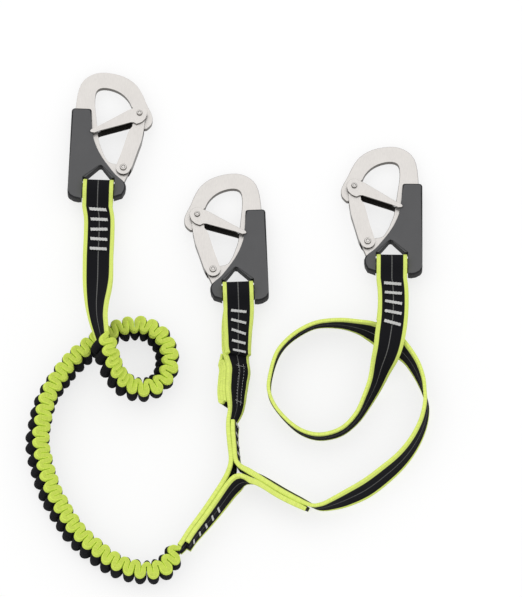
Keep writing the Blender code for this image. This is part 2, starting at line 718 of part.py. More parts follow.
def tail_length():
    return FIRST_TACK + TACK_PITCH * (TACK_COUNT - 1) + TACK_WIDTH + TAIL_SPARE


def hook_webbing(hook, stations, spacing):
    """A leg's frames in three runs: its sewn tail, the loop round the hook's bar, and the leg itself."""
    layout = HOOKS[hook]
    bar = Vector((layout["place"][0], layout["place"][1], bar_height()))
    turn = math.radians(layout["turn"])
    rise = math.radians(layout["rise"])
    leg_way = Vector((math.sin(turn) * math.cos(rise), -math.cos(turn) * math.cos(rise), math.sin(rise)))
    across = Vector((layout["side"] * -math.cos(turn), layout["side"] * -math.sin(turn), 0))
    first = (bar + leg_way * (LOOP_CLOSE + 1.0), across)
    frames = with_normals(route_frames([first] + stand(stations), spacing))
    lengths = running_lengths([frame[0] for frame in frames])
    pair = (WEB_THICK + CLEARANCE) / 2
    above = 1 if leg_way.cross(across).z > 0 else -1
    tail_side = above if layout["tail_above"] else -above
    tail, leg = [], []
    for (centre, edge, normal, _), travelled in zip(frames, lengths):
        share = max(0.0, min(1.0, (tail_length() + 24 - travelled) / 20))
        leg.append((centre - normal * (tail_side * pair * share), edge))
        if travelled <= tail_length():
            tail.append((centre + normal * (tail_side * pair), edge))
    loop = [(point, across.copy()) for point in loop_points(bar, leg_way, layout["tail_above"])]
    return tail, loop, leg, above


def folded_frames():
    """The elastic leg's webbing, gathered into even folds across its route."""
    middle, upward, lengths = route_curve(stand(ELASTIC, FOLD_REACH + SLEEVE_THICK / 2), 24)
    total = lengths[-1]
    lead = WEB_THICK
    pitch = (total - 2 * lead) / FOLD_COUNT
    places = [0.0, lead * 0.6]
    sideways = [0.0, 0.0]
    for fold in range(FOLD_COUNT):
        for side, first in ((1, 0.0), (-1, 0.5)):
            places += [lead + pitch * (fold + first + share) for share in (0.02, 0.25, 0.48)]
            crown = (FOLD_REACH - FOLD_CROWN, FOLD_REACH, FOLD_REACH - FOLD_CROWN)
            sideways += [side * reach for reach in crown]
    places += [total - lead * 0.6, total]
    sideways += [0.0, 0.0]
    frames = []
    for (centre, edge), place, shift in zip(resample(middle, upward, lengths, places), places, sideways):
        near = resample(middle, upward, lengths, [max(0.0, place - 0.5), min(total, place + 0.5)])
        normal = (near[1][0] - near[0][0]).normalized().cross(edge).normalized()
        frames.append((centre + normal * shift, edge))
    return with_normals(frames)


def build_elastic():
    frames = folded_frames()
    hollow_band("elastic_sleeve", frames, WEB_WIDTH, SLEEVE_THICK, SLEEVE_WALL, SLEEVE_HEM, LIME_WEBBING)
    core_width = WEB_WIDTH - 2 * SLEEVE_HEM - 2 * CORE_PLAY
    band("elastic_core", frames, core_width, CORE_THICK, LATEX)


def overload_frames(leg):
    """Layers of webbing folded back and forth against the middle leg."""
    inside = [frame for frame in leg if OVERLOAD_REACH[0] < frame[0].y < OVERLOAD_REACH[1]]
    pitch = OVERLOAD_THICK + OVERLOAD_PLAY
    first = WEB_THICK / 2 + OVERLOAD_PLAY + OVERLOAD_THICK / 2
    frames = []
    for ply in range(OVERLOAD_PLIES):
        row = [(centre + normal * (first + pitch * ply), edge) for centre, edge, normal, _ in inside]
        if ply % 2:
            row = row[::-1]
        if frames:
            frames += half_turn(frames, row)
        frames += row
    return with_normals(frames)


def half_turn(before, after):
    """A small round bend from the end of one layer to the start of the next."""
    edge = before[-1][1]
    ahead = (before[-1][0] - before[-2][0]).normalized()
    middle = (before[-1][0] + after[0][0]) / 2
    side = before[-1][0] - middle
    return [(middle + side * math.cos(angle) + ahead * (side.length * math.sin(angle)), edge)
            for angle in (math.radians(degrees) for degrees in (45, 90, 135))]


def build_tacks(name, frames, start, facing):
    """Five sewn bars across a band, held by the thread carried between them, just above one face."""
    places = [start + TACK_PITCH * i for i in range(TACK_COUNT)]
    lift = WEB_THICK / 2 + TACK_PLAY + TACK_HEIGHT / 2
    middle = [frame[0] for frame in frames]
    upward = [frame[1] for frame in frames]
    lengths = running_lengths(middle)
    rings = []
    for i, place in enumerate(places):
        (before, edge), (after, _) = resample(middle, upward, lengths,
                                              [place - TACK_WIDTH / 2, place + TACK_WIDTH / 2])
        normal = (after - before).normalized().cross(edge).normalized() * facing
        ends = [(end + normal * lift, edge, normal, normal) for end in (before, after)]
        thread = band_rings(ends, THREAD_WIDTH, TACK_HEIGHT / 2, False)
        if i:
            rings.append(thread[0])
        rings += band_rings(ends, TACK_LENGTH, TACK_HEIGHT, False)
        if i < TACK_COUNT - 1:
            rings.append(thread[1])
    bm = bmesh.new()
    add_ring_stack(bm, rings)
    add_object(name, close_mesh(name, bm), THREAD)


def build_line():
    routes = {
        1: LEG_1,
        2: LEG_2 + back(WEST_ARM + WEST_BEND + NORTH_ARM),
        3: LEG_3 + back(EAST_ARM) + CORNER + beside(NORTH_ARM, 1),
    }
    legs = {}
    for hook, stations in routes.items():
        twisted = hook == 2
        tail, loop, leg, above = hook_webbing(hook, stations, 3.5 if twisted else 6.5)
        whole = with_normals(tail[::-1] + loop + leg)
        band(f"webbing_leg_{hook}", whole, WEB_WIDTH, WEB_THICK, BLACK_WEBBING, ridge=twisted)
        build_tacks(f"bar_tacks_{hook}", tail if HOOKS[hook]["tail_above"] else leg, FIRST_TACK, above)
        legs[hook] = with_normals(leg)
    crotch = beside(WEST_ARM[1:], 1) + CROTCH + beside(EAST_ARM[1:], EAST_LAYERS)
    junction = with_normals(route_frames(stand(crotch), 5.0))
    band("junction_strap", junction, WEB_WIDTH, WEB_THICK, BLACK_WEBBING, ridge=True)
    build_tacks("bar_tacks_west", junction, WEST_TACK, 1)
    build_tacks("bar_tacks_north", legs[3][::-1], FIRST_TACK, -1)
    band("overload_fold", overload_frames(legs[2]), WEB_WIDTH, OVERLOAD_THICK, BLACK_WEBBING, ridge=True)


def main():
    clear_objects()
    for hook, layout in HOOKS.items():
        build_hook(hook, layout)
    build_line()
    build_elastic()


main()
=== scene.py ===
"""Looks of an elastic lanyard with three safety hooks, lying on a white table. Lengths are in metres."""
import bisect
import json
import math

import bmesh
import bpy
from mathutils import Matrix, Vector
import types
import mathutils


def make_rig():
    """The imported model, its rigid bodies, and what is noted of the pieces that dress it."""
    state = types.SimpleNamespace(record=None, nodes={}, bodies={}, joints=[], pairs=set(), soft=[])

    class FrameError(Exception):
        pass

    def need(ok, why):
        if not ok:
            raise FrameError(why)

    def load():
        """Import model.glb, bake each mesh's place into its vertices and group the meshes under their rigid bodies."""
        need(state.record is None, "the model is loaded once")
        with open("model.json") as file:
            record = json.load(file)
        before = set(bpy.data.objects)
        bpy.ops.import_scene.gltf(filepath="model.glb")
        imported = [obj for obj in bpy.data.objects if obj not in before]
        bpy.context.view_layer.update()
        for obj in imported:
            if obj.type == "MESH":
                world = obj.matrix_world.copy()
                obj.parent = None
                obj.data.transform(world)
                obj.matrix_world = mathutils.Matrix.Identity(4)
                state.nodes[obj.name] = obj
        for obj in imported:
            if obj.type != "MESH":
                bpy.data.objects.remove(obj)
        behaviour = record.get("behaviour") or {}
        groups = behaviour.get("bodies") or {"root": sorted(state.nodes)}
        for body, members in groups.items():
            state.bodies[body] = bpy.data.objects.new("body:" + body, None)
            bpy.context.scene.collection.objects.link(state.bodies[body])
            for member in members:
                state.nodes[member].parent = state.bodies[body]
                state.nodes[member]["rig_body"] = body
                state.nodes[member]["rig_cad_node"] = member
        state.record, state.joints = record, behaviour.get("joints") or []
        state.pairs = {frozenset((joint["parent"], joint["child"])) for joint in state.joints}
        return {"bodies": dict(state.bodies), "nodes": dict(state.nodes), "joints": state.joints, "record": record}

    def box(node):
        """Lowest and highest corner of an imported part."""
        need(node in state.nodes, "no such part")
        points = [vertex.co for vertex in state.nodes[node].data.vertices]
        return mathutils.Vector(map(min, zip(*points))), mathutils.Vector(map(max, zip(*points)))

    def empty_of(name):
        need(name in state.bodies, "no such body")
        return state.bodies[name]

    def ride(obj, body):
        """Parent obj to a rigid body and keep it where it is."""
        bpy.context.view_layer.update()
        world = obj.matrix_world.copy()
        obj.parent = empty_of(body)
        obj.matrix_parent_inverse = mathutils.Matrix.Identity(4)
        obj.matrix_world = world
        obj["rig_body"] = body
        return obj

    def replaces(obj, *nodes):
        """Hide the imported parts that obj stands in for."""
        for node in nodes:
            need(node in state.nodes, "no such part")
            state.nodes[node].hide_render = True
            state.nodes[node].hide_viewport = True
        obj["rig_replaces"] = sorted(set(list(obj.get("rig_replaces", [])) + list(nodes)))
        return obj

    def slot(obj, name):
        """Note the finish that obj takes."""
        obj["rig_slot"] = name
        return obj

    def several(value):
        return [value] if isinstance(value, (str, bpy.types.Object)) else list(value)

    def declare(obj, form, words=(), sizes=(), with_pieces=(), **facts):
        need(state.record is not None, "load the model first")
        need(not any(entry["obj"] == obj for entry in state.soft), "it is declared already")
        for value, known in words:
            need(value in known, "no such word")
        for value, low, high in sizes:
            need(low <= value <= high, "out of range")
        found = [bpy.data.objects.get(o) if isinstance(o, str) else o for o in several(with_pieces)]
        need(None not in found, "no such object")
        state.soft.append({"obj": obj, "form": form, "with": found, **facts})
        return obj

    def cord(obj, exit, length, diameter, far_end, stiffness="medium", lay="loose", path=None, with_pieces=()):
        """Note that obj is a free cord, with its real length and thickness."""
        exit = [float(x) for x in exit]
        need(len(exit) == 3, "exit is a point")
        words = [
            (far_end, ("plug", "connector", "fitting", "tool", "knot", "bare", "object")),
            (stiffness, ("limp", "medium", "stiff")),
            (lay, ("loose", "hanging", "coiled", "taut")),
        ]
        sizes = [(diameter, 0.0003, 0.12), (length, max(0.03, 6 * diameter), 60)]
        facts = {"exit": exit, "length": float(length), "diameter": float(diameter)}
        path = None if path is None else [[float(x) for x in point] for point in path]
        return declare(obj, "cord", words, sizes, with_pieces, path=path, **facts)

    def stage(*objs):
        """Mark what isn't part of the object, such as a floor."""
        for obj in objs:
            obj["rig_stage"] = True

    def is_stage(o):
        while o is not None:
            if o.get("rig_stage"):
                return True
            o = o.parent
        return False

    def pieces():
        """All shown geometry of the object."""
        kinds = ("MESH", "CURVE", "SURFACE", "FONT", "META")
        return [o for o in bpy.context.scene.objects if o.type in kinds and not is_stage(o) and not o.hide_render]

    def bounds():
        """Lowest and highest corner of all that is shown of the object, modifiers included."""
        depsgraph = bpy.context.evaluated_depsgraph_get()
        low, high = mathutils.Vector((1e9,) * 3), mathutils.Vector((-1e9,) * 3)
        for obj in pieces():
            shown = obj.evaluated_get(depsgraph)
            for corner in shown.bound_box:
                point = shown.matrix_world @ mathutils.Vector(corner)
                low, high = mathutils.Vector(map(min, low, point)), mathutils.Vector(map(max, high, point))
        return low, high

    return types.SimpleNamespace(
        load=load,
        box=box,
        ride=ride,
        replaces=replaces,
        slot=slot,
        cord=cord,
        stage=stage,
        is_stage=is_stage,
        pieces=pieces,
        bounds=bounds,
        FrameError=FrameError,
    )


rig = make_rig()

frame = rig.load()
cad_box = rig.bounds()

# View: the camera stands far off with a long lens, so that the hooks keep one size across the picture.
AIM = Vector((0.0136, -0.0988, 0.010))
CAMERA_DISTANCE = 6.0
CAMERA_ELEVATION = 72.0
PICTURE_HEIGHT = 0.5045
SENSOR = 36.0

# Light: a white room, a wide soft sun, and a table whose white is mostly its own and the rest lit.
ROOM_LIGHT = 0.88
SUN_POWER = 0.35
SUN_WIDTH = 50
SUN_TURN = (-28, -24, 0)
TABLE_LIT = 0.30
TABLE_WHITE = 1.02
TABLE_BOUNCE = 0.8
TABLE_SIZE = 20.0

# Webbing. Its profile is places across it and heights there, as shares: the selvedges stand a little proud.
WEB_WIDTH = 0.026
WEB_THICK = 0.003
WEB_CORNER = 0.0008
WEB_PROFILE = ((-1, 1), (-0.76, 1), (-0.71, 0.88), (-0.36, 0.86), (0, 0.86), (0.36, 0.86), (0.71, 0.88),
               (0.76, 1), (1, 1))
CLEARANCE = 0.0003
FLOOR_GAP = 0.0004
LAYER_PLAY = 0.0007
EAST_LAYERS = 1.2
RING_SPACING = 0.003
ROUTE_STEPS = 16
TIGHTEST_BEND = 0.6
SHARP_ANGLE = 40

# The loop round a hook's bar: its turn in degrees, and how its two layers come together, as places along
# the leg and distances from the pair's middle. The leg itself starts a little further on.
BAR_RADIUS = 0.0065
LOOP_START = 50
LOOP_TURN = 260
LOOP_STEPS = 18
LOOP_CLOSING = ((0.0135, 0.00175), (0.0109, 0.00245), (0.0081, 0.0041))
LEG_START = 0.0145

# The tail sewn back along a leg. Past its end the leg goes on beside its route, and then comes back to it.
TAIL_LENGTH = 0.0449
TAIL_HOLD = 0.004
TAIL_FADE = 0.020

# How steeply each hook's webbing leaves its bar, in degrees, and whether its sewn tail lies above it.
LEAVING = {1: (2.0, False), 2: (2.0, True), 3: (20.0, False)}

# The elastic's tube and its folds. In a bend the folds are wedged on the inner side and swell there.
FOLD_COUNT = 48
FOLD_TOP_REACH = 0.0046
FOLD_THICK = 0.0048
FOLD_BULGE = 0.0023
FOLD_WEDGE = 0.0003
WEDGE_STRETCH = 0.1
FOLD_PLAY = 0.00005
FOLD_TURN_STEP = 20
INNER_SWELL = 0.7
SWELL_STRETCH = 0.15
STRAND_SWELL = 0.05
END_FULLNESS = 0.75
END_RUN = 0.0012
TUBE_CORNER = 0.0020
TUBE_STRIPE = 0.0078
CAD_FOLD_REACH = 0.0069
CORE_WIDTH = 0.0182
CORE_THICK = 0.0012
ELASTIC_STEPS = 24
PATH_STEP = 6
BEND_REACH = 0.004
SHORT_STEP = 0.0005
# The tube's belly, by depth from its upper edge, where 2 is its lower edge.
BELLY_FULL = 1.1
BELLY_NARROWS = 1.4
BELLY_LOSS = 0.6

# The folded packet beside the middle leg: the stretch of y that it takes up, and its plies.
OVERLOAD_REACH = (-0.1965, -0.157)
OVERLOAD_PLIES = 3
PACKET_PITCH = 0.00275
PACKET_GAP = 0.0005
PLY_PLAY = 0.00005
PACKET_CORNER = 0.0003
PACKET_CLOSING = 0.010
PACKET_END = 0.0024
PACKET_FULLNESS = 1.3

# The junction's sewn layers lie fuller than single webbing, most of all in the crotch of its Y. Its area
# ends at a line that falls away to the east, and at its east arm's end.
JUNCTION_NORTH = -0.205
JUNCTION_SLOPE = 0.9
JUNCTION_EAST = 0.058
JUNCTION_EASE = 0.012
ARM_FULLNESS = 1.22
EAST_FULLNESS = 1.46
CROTCH_FULLNESS = 0.45
CROTCH_X = 0.005

# Bar tacks. Each row has its first bar's place, and its bars' spacing, length, width and slant.
TACK_COUNT = 5
TACK_LIFT = 0.0009
TACK_ROWS = {
    "1": (0.0032, 0.0093, 0.0138, 0.0026, 0.03),
    "2": (0.0024, 0.0092, 0.0126, 0.0021, 0.10),
    "3": (0.0058, 0.0099, 0.0138, 0.0026, 0.11),
    "north": (0.0015, 0.0086, 0.0150, 0.0018, 0.0),
    "west": (0.0060, 0.0086, 0.0085, 0.0018, 0.0),
}
THREAD_RADIUS = 0.00026
STITCH_PITCH = 0.0005
STITCH_LEAN = 0.0002
STITCH_CROWN = 0.00015

# The packet's dotted seams, at two places across the leg, and a short bar near each of its ends.
SEAMS = (-0.005, 0.001)
SEAM_START = 0.002
SEAM_END = 0.003
SEAM_PITCH = 0.0026
SEAM_STITCH = 0.0016
SEAM_THREAD = 0.00013
SEAM_LIFT = 0.0001
SEAM_CROWN = 0.0002
SEAM_BAR = (-0.0075, -0.002, 0.0035)
SEAM_BAR_INSET = 0.004

# Small variations from one fold, bar or stitch to the next: each wave's amount, rate and start.
REACH_SWAY = (0.0004, 2.4, 0.8)
LEAN_SWAY = (0.0005, 1.9, 0.0)
DIP_SWAY = (0.0004, 1.7, 0.6)
SLANT_SWAY = (0.04, 2.2, 0.4)
BAR_SWAY = (0.0004, 3.1, 0.0)
STITCH_SWAY = (0.12, 5.0, 0.0)

# Hooks, in their own axes: how far their edges are rounded, and from which angle on.
PLATE_EDGE = 0.0007
GRIP_EDGE = 0.0005
SHEET_EDGE = 0.0004
EDGE_ANGLE = 32
MERGE_GAP = 0.00001
MERGE_ANGLE = 1.5
# The grip's upper corners, and the moulding that comes further in, in the corners of its slot's gable; its dark walls
# are partly the moulding and partly painted shadow.
CORNER_START = 0.055
CORNER_RADIUS = 0.0018
CORNER_ANGLE = 24
CORNER_UPRIGHT = 0.2
SLOT_CORNERS = (
    ((0.0139, 0.0107), (0.0110, 0.0107), (0.0006, 0.0208), (0.0010, 0.0214)),
    ((-0.0139, 0.0107), (-0.0110, 0.0107), (-0.0030, 0.0205), (-0.0034, 0.0211)),
)
SLOT_CORNER_HEIGHT = 0.0046
# The folded sheets' inner faces, which take the dark steel as painted shade, lie within these heights, and look
# squarely
# enough along these shares of an axis: their flat sheets, the web that joins them, and the lower sheet's edge.
GATE_INSIDE = 0.0045
LEVER_INSIDE = 0.0062
WEB_INSIDE = 0.0030
LEVER_UNDERSIDE = -0.004
SHEET_FACING = 0.7
WEB_FACING = 0.5
EDGE_FACING = 0.3
# A rivet head's radii as shares, and its depths. Its groove takes the dark steel as painted shade.
RIVET_PROFILE = ((0.12, -0.00042), (0.42, -0.00040), (0.55, -0.00005), (0.78, 0.0), (0.95, -0.00035),
                 (1.0, -0.0008), (1.0, -0.0011))
RIVET_GROOVE = (0.44, 0.54)
RIVET_STEPS = 32
LEAST_PIN = 0.001

# Routes, as the part's source has them: x, y, the webbing's lean in degrees, and its lower edge's lift.
LEG_1 = [
    (-0.1235, -0.0295, -90, 0.0125), (-0.1235, -0.045, -90, 0.014), (-0.124, -0.063, -90, 0.017),
    (-0.124, -0.082, -84, 0.02), (-0.124, -0.099, -64, 0.0235), (-0.124, -0.113, -47, 0.027),
    (-0.123, -0.126, -34, 0.0295), (-0.121, -0.1365, -26, 0.031), (-0.1196, -0.1433, -21, 0.0315),
]
LEG_2 = [
    (-0.0059, -0.118, 79, 0.0094), (-0.0067, -0.127, 68, 0.0074), (-0.007, -0.137, 61, 0.0063),
    (-0.007, -0.147, 57, 0.0066), (-0.0056, -0.156, 48, 0.0082), (-0.0046, -0.165, 45, 0.0082),
    (-0.0061, -0.174, 41, 0.008), (-0.0072, -0.183, 38, 0.0078), (-0.0075, -0.1916, 32, 0.0068),
    (-0.008, -0.1985, 25, 0.0044), (-0.0098, -0.2045, 16, 0.0015),
]
LEG_3 = [
    (0.125, -0.095, 90, 0.019), (0.125, -0.109, 88, 0.0235), (0.124, -0.123, 82, 0.026),
    (0.122, -0.1375, 76, 0.0265), (0.119, -0.1515, 58, 0.02), (0.114, -0.1635, 38, 0.011),
    (0.109, -0.177, 22, 0.004), (0.102, -0.191, 12, 0), (0.094, -0.205, 4, 0), (0.082, -0.2165, -2, 0),
    (0.0675, -0.2215, -6, 0), (0.0545, -0.2205, -8, 0), (0.0415, -0.2135, -9, 0), (0.028, -0.199, -9, 0),
    (0.021, -0.185, -4, 0), (0.021, -0.1715, 0, 0), (0.026, -0.1525, 1, 0), (0.034, -0.14, 5, 0),
    (0.046, -0.13, 6, 0), (0.061, -0.123, 7, 0), (0.08, -0.122, 2, 0), (0.0955, -0.125, -6, 0),
    (0.1065, -0.129, -20, 0), (0.1175, -0.135, -30, 0), (0.1275, -0.141, -26, 0), (0.137, -0.1505, -15, 0),
    (0.144, -0.1615, -11, 0), (0.149, -0.1735, -5, 0), (0.1515, -0.184, 2, 0), (0.1525, -0.195, 7, 0),
    (0.1495, -0.2105, 10, 0), (0.142, -0.227, 13, 0), (0.131, -0.242, 16, 0), (0.1165, -0.2555, 20, 0),
    (0.1015, -0.267, 20, 0), (0.0855, -0.2755, 14, 0), (0.073, -0.2805, 4, 0), (0.0635, -0.283, -6, 0),
]
ELASTIC = [
    (-0.055, -0.3205, -4, 0), (-0.0575, -0.3245, -5, 0), (-0.062, -0.3305, -6, 0), (-0.068, -0.3365, -6, 0),
    (-0.0775, -0.34, -5, 0), (-0.0875, -0.34, -4, 0), (-0.101, -0.336, 0, 0), (-0.116, -0.328, 5, 0),
    (-0.1295, -0.318, 8, 0), (-0.1425, -0.304, 10, 0), (-0.1535, -0.288, 11, 0), (-0.163, -0.268, 13, 0),
    (-0.17, -0.2475, 15, 0), (-0.173, -0.2245, 17, 0), (-0.1705, -0.203, 14, 0), (-0.1635, -0.183, 7, 0),
    (-0.1545, -0.1675, 1, 0), (-0.144, -0.156, -2, 0), (-0.133, -0.1455, -2, 0), (-0.1225, -0.137, 0, 0),
    (-0.1105, -0.1305, 3, 0), (-0.1, -0.126, 5, 0), (-0.0885, -0.125, 5, 0), (-0.078, -0.129, 2, 0),
    (-0.0695, -0.1375, -2, 0), (-0.065, -0.148, -7, 0), (-0.064, -0.1585, -11, 0), (-0.067, -0.168, -12, 0),
    (-0.073, -0.176, -12, 0), (-0.0805, -0.1805, -9, 0.001), (-0.089, -0.182, -5, 0.004),
    (-0.098, -0.18, 2, 0.009), (-0.106, -0.1745, 10, 0.016), (-0.112, -0.1665, 15, 0.023),
    (-0.1156, -0.1575, 18, 0.028), (-0.1176, -0.1498, 20, 0.031), (-0.1192, -0.1442, 21, 0.0315),
]
WEST_ARM = [
    (-0.0544, -0.3199, -1, 0), (-0.0505, -0.3153, -4, 0), (-0.0451, -0.3068, -5, 0),
    (-0.0349, -0.2937, -9, 0), (-0.0245, -0.2795, -13, 0),
]
NORTH_ARM = [
    (-0.0099, -0.245, -8, 0), (-0.0114, -0.231, -7, 0), (-0.0124, -0.219, -7, 0), (-0.012, -0.2105, -9, 0),
]
EAST_ARM = [
    (0.0046, -0.2532, 12, 0), (0.0164, -0.2594, 17, 0), (0.0339, -0.2703, 18, 0), (0.0545, -0.2813, 16, 0),
]
WEST_BEND = [
    (-0.0156, -0.265, -13, 0), (-0.0116, -0.2545, -9, 0),
]
CORNER = [
    (-0.0029, -0.2496, -8, 0),
]
CROTCH = [
    (-0.0122, -0.2686, -16, 0), (-0.0068, -0.2628, -16, 0), (-0.003, -0.2606, -8, 0),
    (0.0006, -0.2597, 6, 0), (0.0058, -0.2605, 15, 0),
]

# Lengths declared for the free bands, along their middle lines; a webbing leg's starts at its hook's bar.
LEG_LENGTHS = {1: 0.187, 2: 0.284, 3: 0.746}
ELASTIC_LENGTH = 0.48

# Textiles. A weave is a row's width and a stitch's length. The selvedge and the marker line each fade over
# a stretch of distances from the webbing's middle.
BLACK = (0.0085, 0.0085, 0.0105, 1.0)
LIME = (0.74, 0.86, 0.19, 1.0)
TUBE_LIME = (0.70, 0.86, 0.13, 1.0)
MARKER_GREY = (0.17, 0.17, 0.165, 1.0)
WEB_WEAVE = (0.0009, 0.0014)
TUBE_WEAVE = (0.0008, 0.0013)
SELVEDGE = (0.0094, 0.0098)
STRIPE_FADE = 0.0005
MARKER = (0.00025, 0.00045)
MARKER_DASH = 0.0026
YARN_DEPTH = 0.0002
TEXTILE_ROUGHNESS = 0.9

# Gloss of surfaces, and the stretch of a noise's values that counts.
PLAIN_GLOSS = 0.3
METAL_GLOSS = 0.5
TEXTILE_GLOSS = 0.12
NOISE = (0.3, 0.7)
FRAY_SCALE = 900.0
PATCH_SCALE = 70.0

# Each grained finish: its colour on flat faces, and on turned ones, which are cut or rounded sides, darker there as
# painted shade; its roughness and metallic value; its grain's size and how far that is drawn out; its contrast and its
# bump.
FINISHES = {
    "satin_steel": ((0.77, 0.74, 0.71), (0.13, 0.12, 0.11), 0.36, 1.0, 0.0006, 6.0, 0.04, 0.12),
    # shaded_steel is painted shade all over: the insides of the folded sheets and the rivets' grooves.
    "shaded_steel": ((0.016, 0.014, 0.012), (0.02, 0.018, 0.015), 0.60, 0.0, 0.0005, 1.0, 0.10, 0.20),
    "moulded_rubber": ((0.096, 0.096, 0.099), (0.007, 0.007, 0.009), 0.62, 0.0, 0.0007, 1.0, 0.05, 0.25),
    "spring_wire": ((0.45, 0.44, 0.42), (0.40, 0.39, 0.37), 0.30, 1.0, 0.0003, 1.0, 0.06, 0.10),
    "grey_thread": ((0.66, 0.66, 0.65), (0.60, 0.60, 0.59), 0.80, 0.0, 0.0004, 1.0, 0.12, 0.30),
    "latex_band": ((0.55, 0.50, 0.38), (0.50, 0.45, 0.34), 0.70, 0.0, 0.0006, 1.0, 0.08, 0.20),
}
# How steep a face is where it counts as turned, and takes the painted side shade, and where it counts as flat: on the
# moulding, even its draft is turned.
SHEET_LIMITS = {"Turned": 0.60, "Flat": 0.985}
LIMITS = {"moulded_rubber": {"Turned": 0.985, "Flat": 0.9985}}


# Routes and bands

def unit(value):
    """A value kept between 0 and 1."""
    return max(0.0, min(1.0, value))


def sway(wave, number):
    amount, rate, start = wave
    return amount * math.sin(rate * number + start)


def smooth(points, steps):
    """A curve through given points, with a number of steps between each pair."""
    vectors = [Vector(point) for point in points]
    padded = [2 * vectors[0] - vectors[1]] + vectors + [2 * vectors[-1] - vectors[-2]]
    curve = []
    for before, start, end, after in zip(padded, padded[1:], padded[2:], padded[3:]):
        for i in range(steps):
            t = i / steps
            curve.append(0.5 * (2 * start + (end - before) * t
                                + (2 * before - 5 * start + 4 * end - after) * t ** 2
                                + (3 * start - before - 3 * end + after) * t ** 3))
    curve.append(vectors[-1])
    return curve


def heading(stations, i):
    """The route's level direction at a station."""
    before = stations[max(i - 1, 0)]
    after = stations[min(i + 1, len(stations) - 1)]
    return Vector((after[0] - before[0], after[1] - before[1], 0)).normalized()


def stand(stations, reach=WEB_THICK / 2):
    """Each station's middle and its upper edge's direction."""
    poses = []
    for i, (x, y, lean, lift) in enumerate(stations):
        angle = math.radians(lean)
        right = heading(stations, i).cross(Vector((0, 0, 1)))
        edge = right * math.sin(angle) + Vector((0, 0, math.cos(angle)))
        height = lift + FLOOR_GAP + WEB_WIDTH / 2 * math.cos(angle) + reach * abs(math.sin(angle))
        poses.append((Vector((x, y, height)), edge))
    return poses


def beside(stations, layers):
    """The same route, some layers of webbing further to the right."""
    moved = []
    for i, (x, y, lean, lift) in enumerate(stations):
        way = heading(stations, i)
        shift = layers * (WEB_THICK + LAYER_PLAY) / math.cos(math.radians(lean))
        moved.append((x + way.y * shift, y - way.x * shift, lean, lift))
    return moved


def back(stations):
    """The same route the other way round."""
    return [(x, y, -lean, lift) for x, y, lean, lift in reversed(stations)]


def running_lengths(points):
    lengths = [0.0]
    for a, b in zip(points, points[1:]):
        lengths.append(lengths[-1] + (b - a).length)
    return lengths


def lengths_along(frames):
    return running_lengths([one[0] for one in frames])


def resample(middle, upward, lengths, places):
    """The route's points and edge directions at some places along it."""
    frames = []
    for place in places:
        i = max(0, min(len(lengths) - 2, bisect.bisect_left(lengths, place) - 1))
        t = (place - lengths[i]) / (lengths[i + 1] - lengths[i])
        frames.append((middle[i].lerp(middle[i + 1], t), upward[i].lerp(upward[i + 1], t).normalized()))
    return frames


def route_frames(poses):
    """Evenly spaced frames, each a point and its edge's direction, along a smooth route."""
    middle, upward = (smooth(vectors, ROUTE_STEPS) for vectors in zip(*poses))
    lengths = running_lengths(middle)
    steps = max(2, round(lengths[-1] / RING_SPACING))
    return resample(middle, upward, lengths, [lengths[-1] * i / steps for i in range(steps + 1)])


def with_normals(frames):
    """Add each frame's face normal, stretched at bends so that the thickness stays true."""
    full = []
    last = len(frames) - 1
    for i, (centre, edge) in enumerate(frames):
        before = (centre - frames[i - 1][0]).normalized() if i else Vector()
        after = (frames[i + 1][0] - centre).normalized() if i < last else Vector()
        ahead = (before + after).normalized()
        normal = ahead.cross(edge).normalized()
        bend = max(TIGHTEST_BEND, ahead.dot(after)) if 0 < i < last else 1.0
        full.append((centre, edge, normal, normal / bend))
    return full


def section(width, thick, corner, profile, turn):
    """Points round a band: a profile over its flat part, and corners rounded through some angles."""
    flat, side = width / 2 - corner, thick / 2 - corner
    half = [(share * flat, -thick / 2 * rise) for share, rise in profile]
    for degrees in turn:
        angle = math.radians(degrees)
        through = side * math.copysign(1, angle) + corner * math.sin(angle)
        half.append((flat + corner * math.cos(angle), through))
    return half + [(-across, -through) for across, through in half]


def webbing_section(width, thick, corner=WEB_CORNER):
    return section(width, thick, corner, WEB_PROFILE, (-60, -30, 30, 60))


def tube_section(width, thick):
    """A soft flat tube: straight sides and round edges."""
    profile = [(i / 4 - 1, 1) for i in range(9)]
    return section(width, thick, TUBE_CORNER, profile, (-67.5, -45, -22.5, 22.5, 45, 67.5))


def belly(across, half):
    """How far the tube's body stands out sideways at a place across it: not at all at its upper edge."""
    depth = (half - across) / half
    upper = math.sin(min(1.0, depth / BELLY_FULL) * math.pi / 2) ** 2
    return upper * (1 - BELLY_LOSS * max(0.0, (depth - BELLY_NARROWS) / (2 - BELLY_NARROWS)) ** 2)


def skin(bm, rings):
    """Faces from ring to ring and one over each end, all looking outwards."""
    faces = []
    for first, second in zip(rings, rings[1:]):
        for i in range(len(first)):
            j = (i + 1) % len(first)
            faces.append(bm.faces.new((first[i], first[j], second[j], second[i])))
    faces += [bm.faces.new(rings[0][::-1]), bm.faces.new(rings[-1])]
    bmesh.ops.recalc_face_normals(bm, faces=faces)


def band(name, frames, outline, finish, full=None, bulges=None):
    """Skin a section along full frames. Its map holds the place along the band and across it, in metres.

    full scales each frame's thickness, and bulges push the middle of its section sideways."""
    bm = bmesh.new()
    chart = bm.loops.layers.uv.new("Band")
    lengths = lengths_along(frames)
    half = max(across for across, _ in outline)
    rings, places = [], {}
    for i, (centre, edge, _, normal) in enumerate(frames):
        thickness = full[i] if full else 1.0
        push = bulges[i] if bulges else Vector()
        ring = []
        for across, through in outline:
            point = centre + edge * across + normal * (through * thickness) + push * belly(across, half)
            ring.append(bm.verts.new(point))
            places[ring[-1]] = (lengths[i], across)
        rings.append(ring)
    skin(bm, rings)
    for face in bm.faces:
        for loop in face.loops:
            loop[chart].uv = places[loop.vert]
    return add_piece(name, bm, [finish])


def add_object(name, data):
    obj = bpy.data.objects.new(name, data)
    bpy.context.collection.objects.link(obj)
    return obj


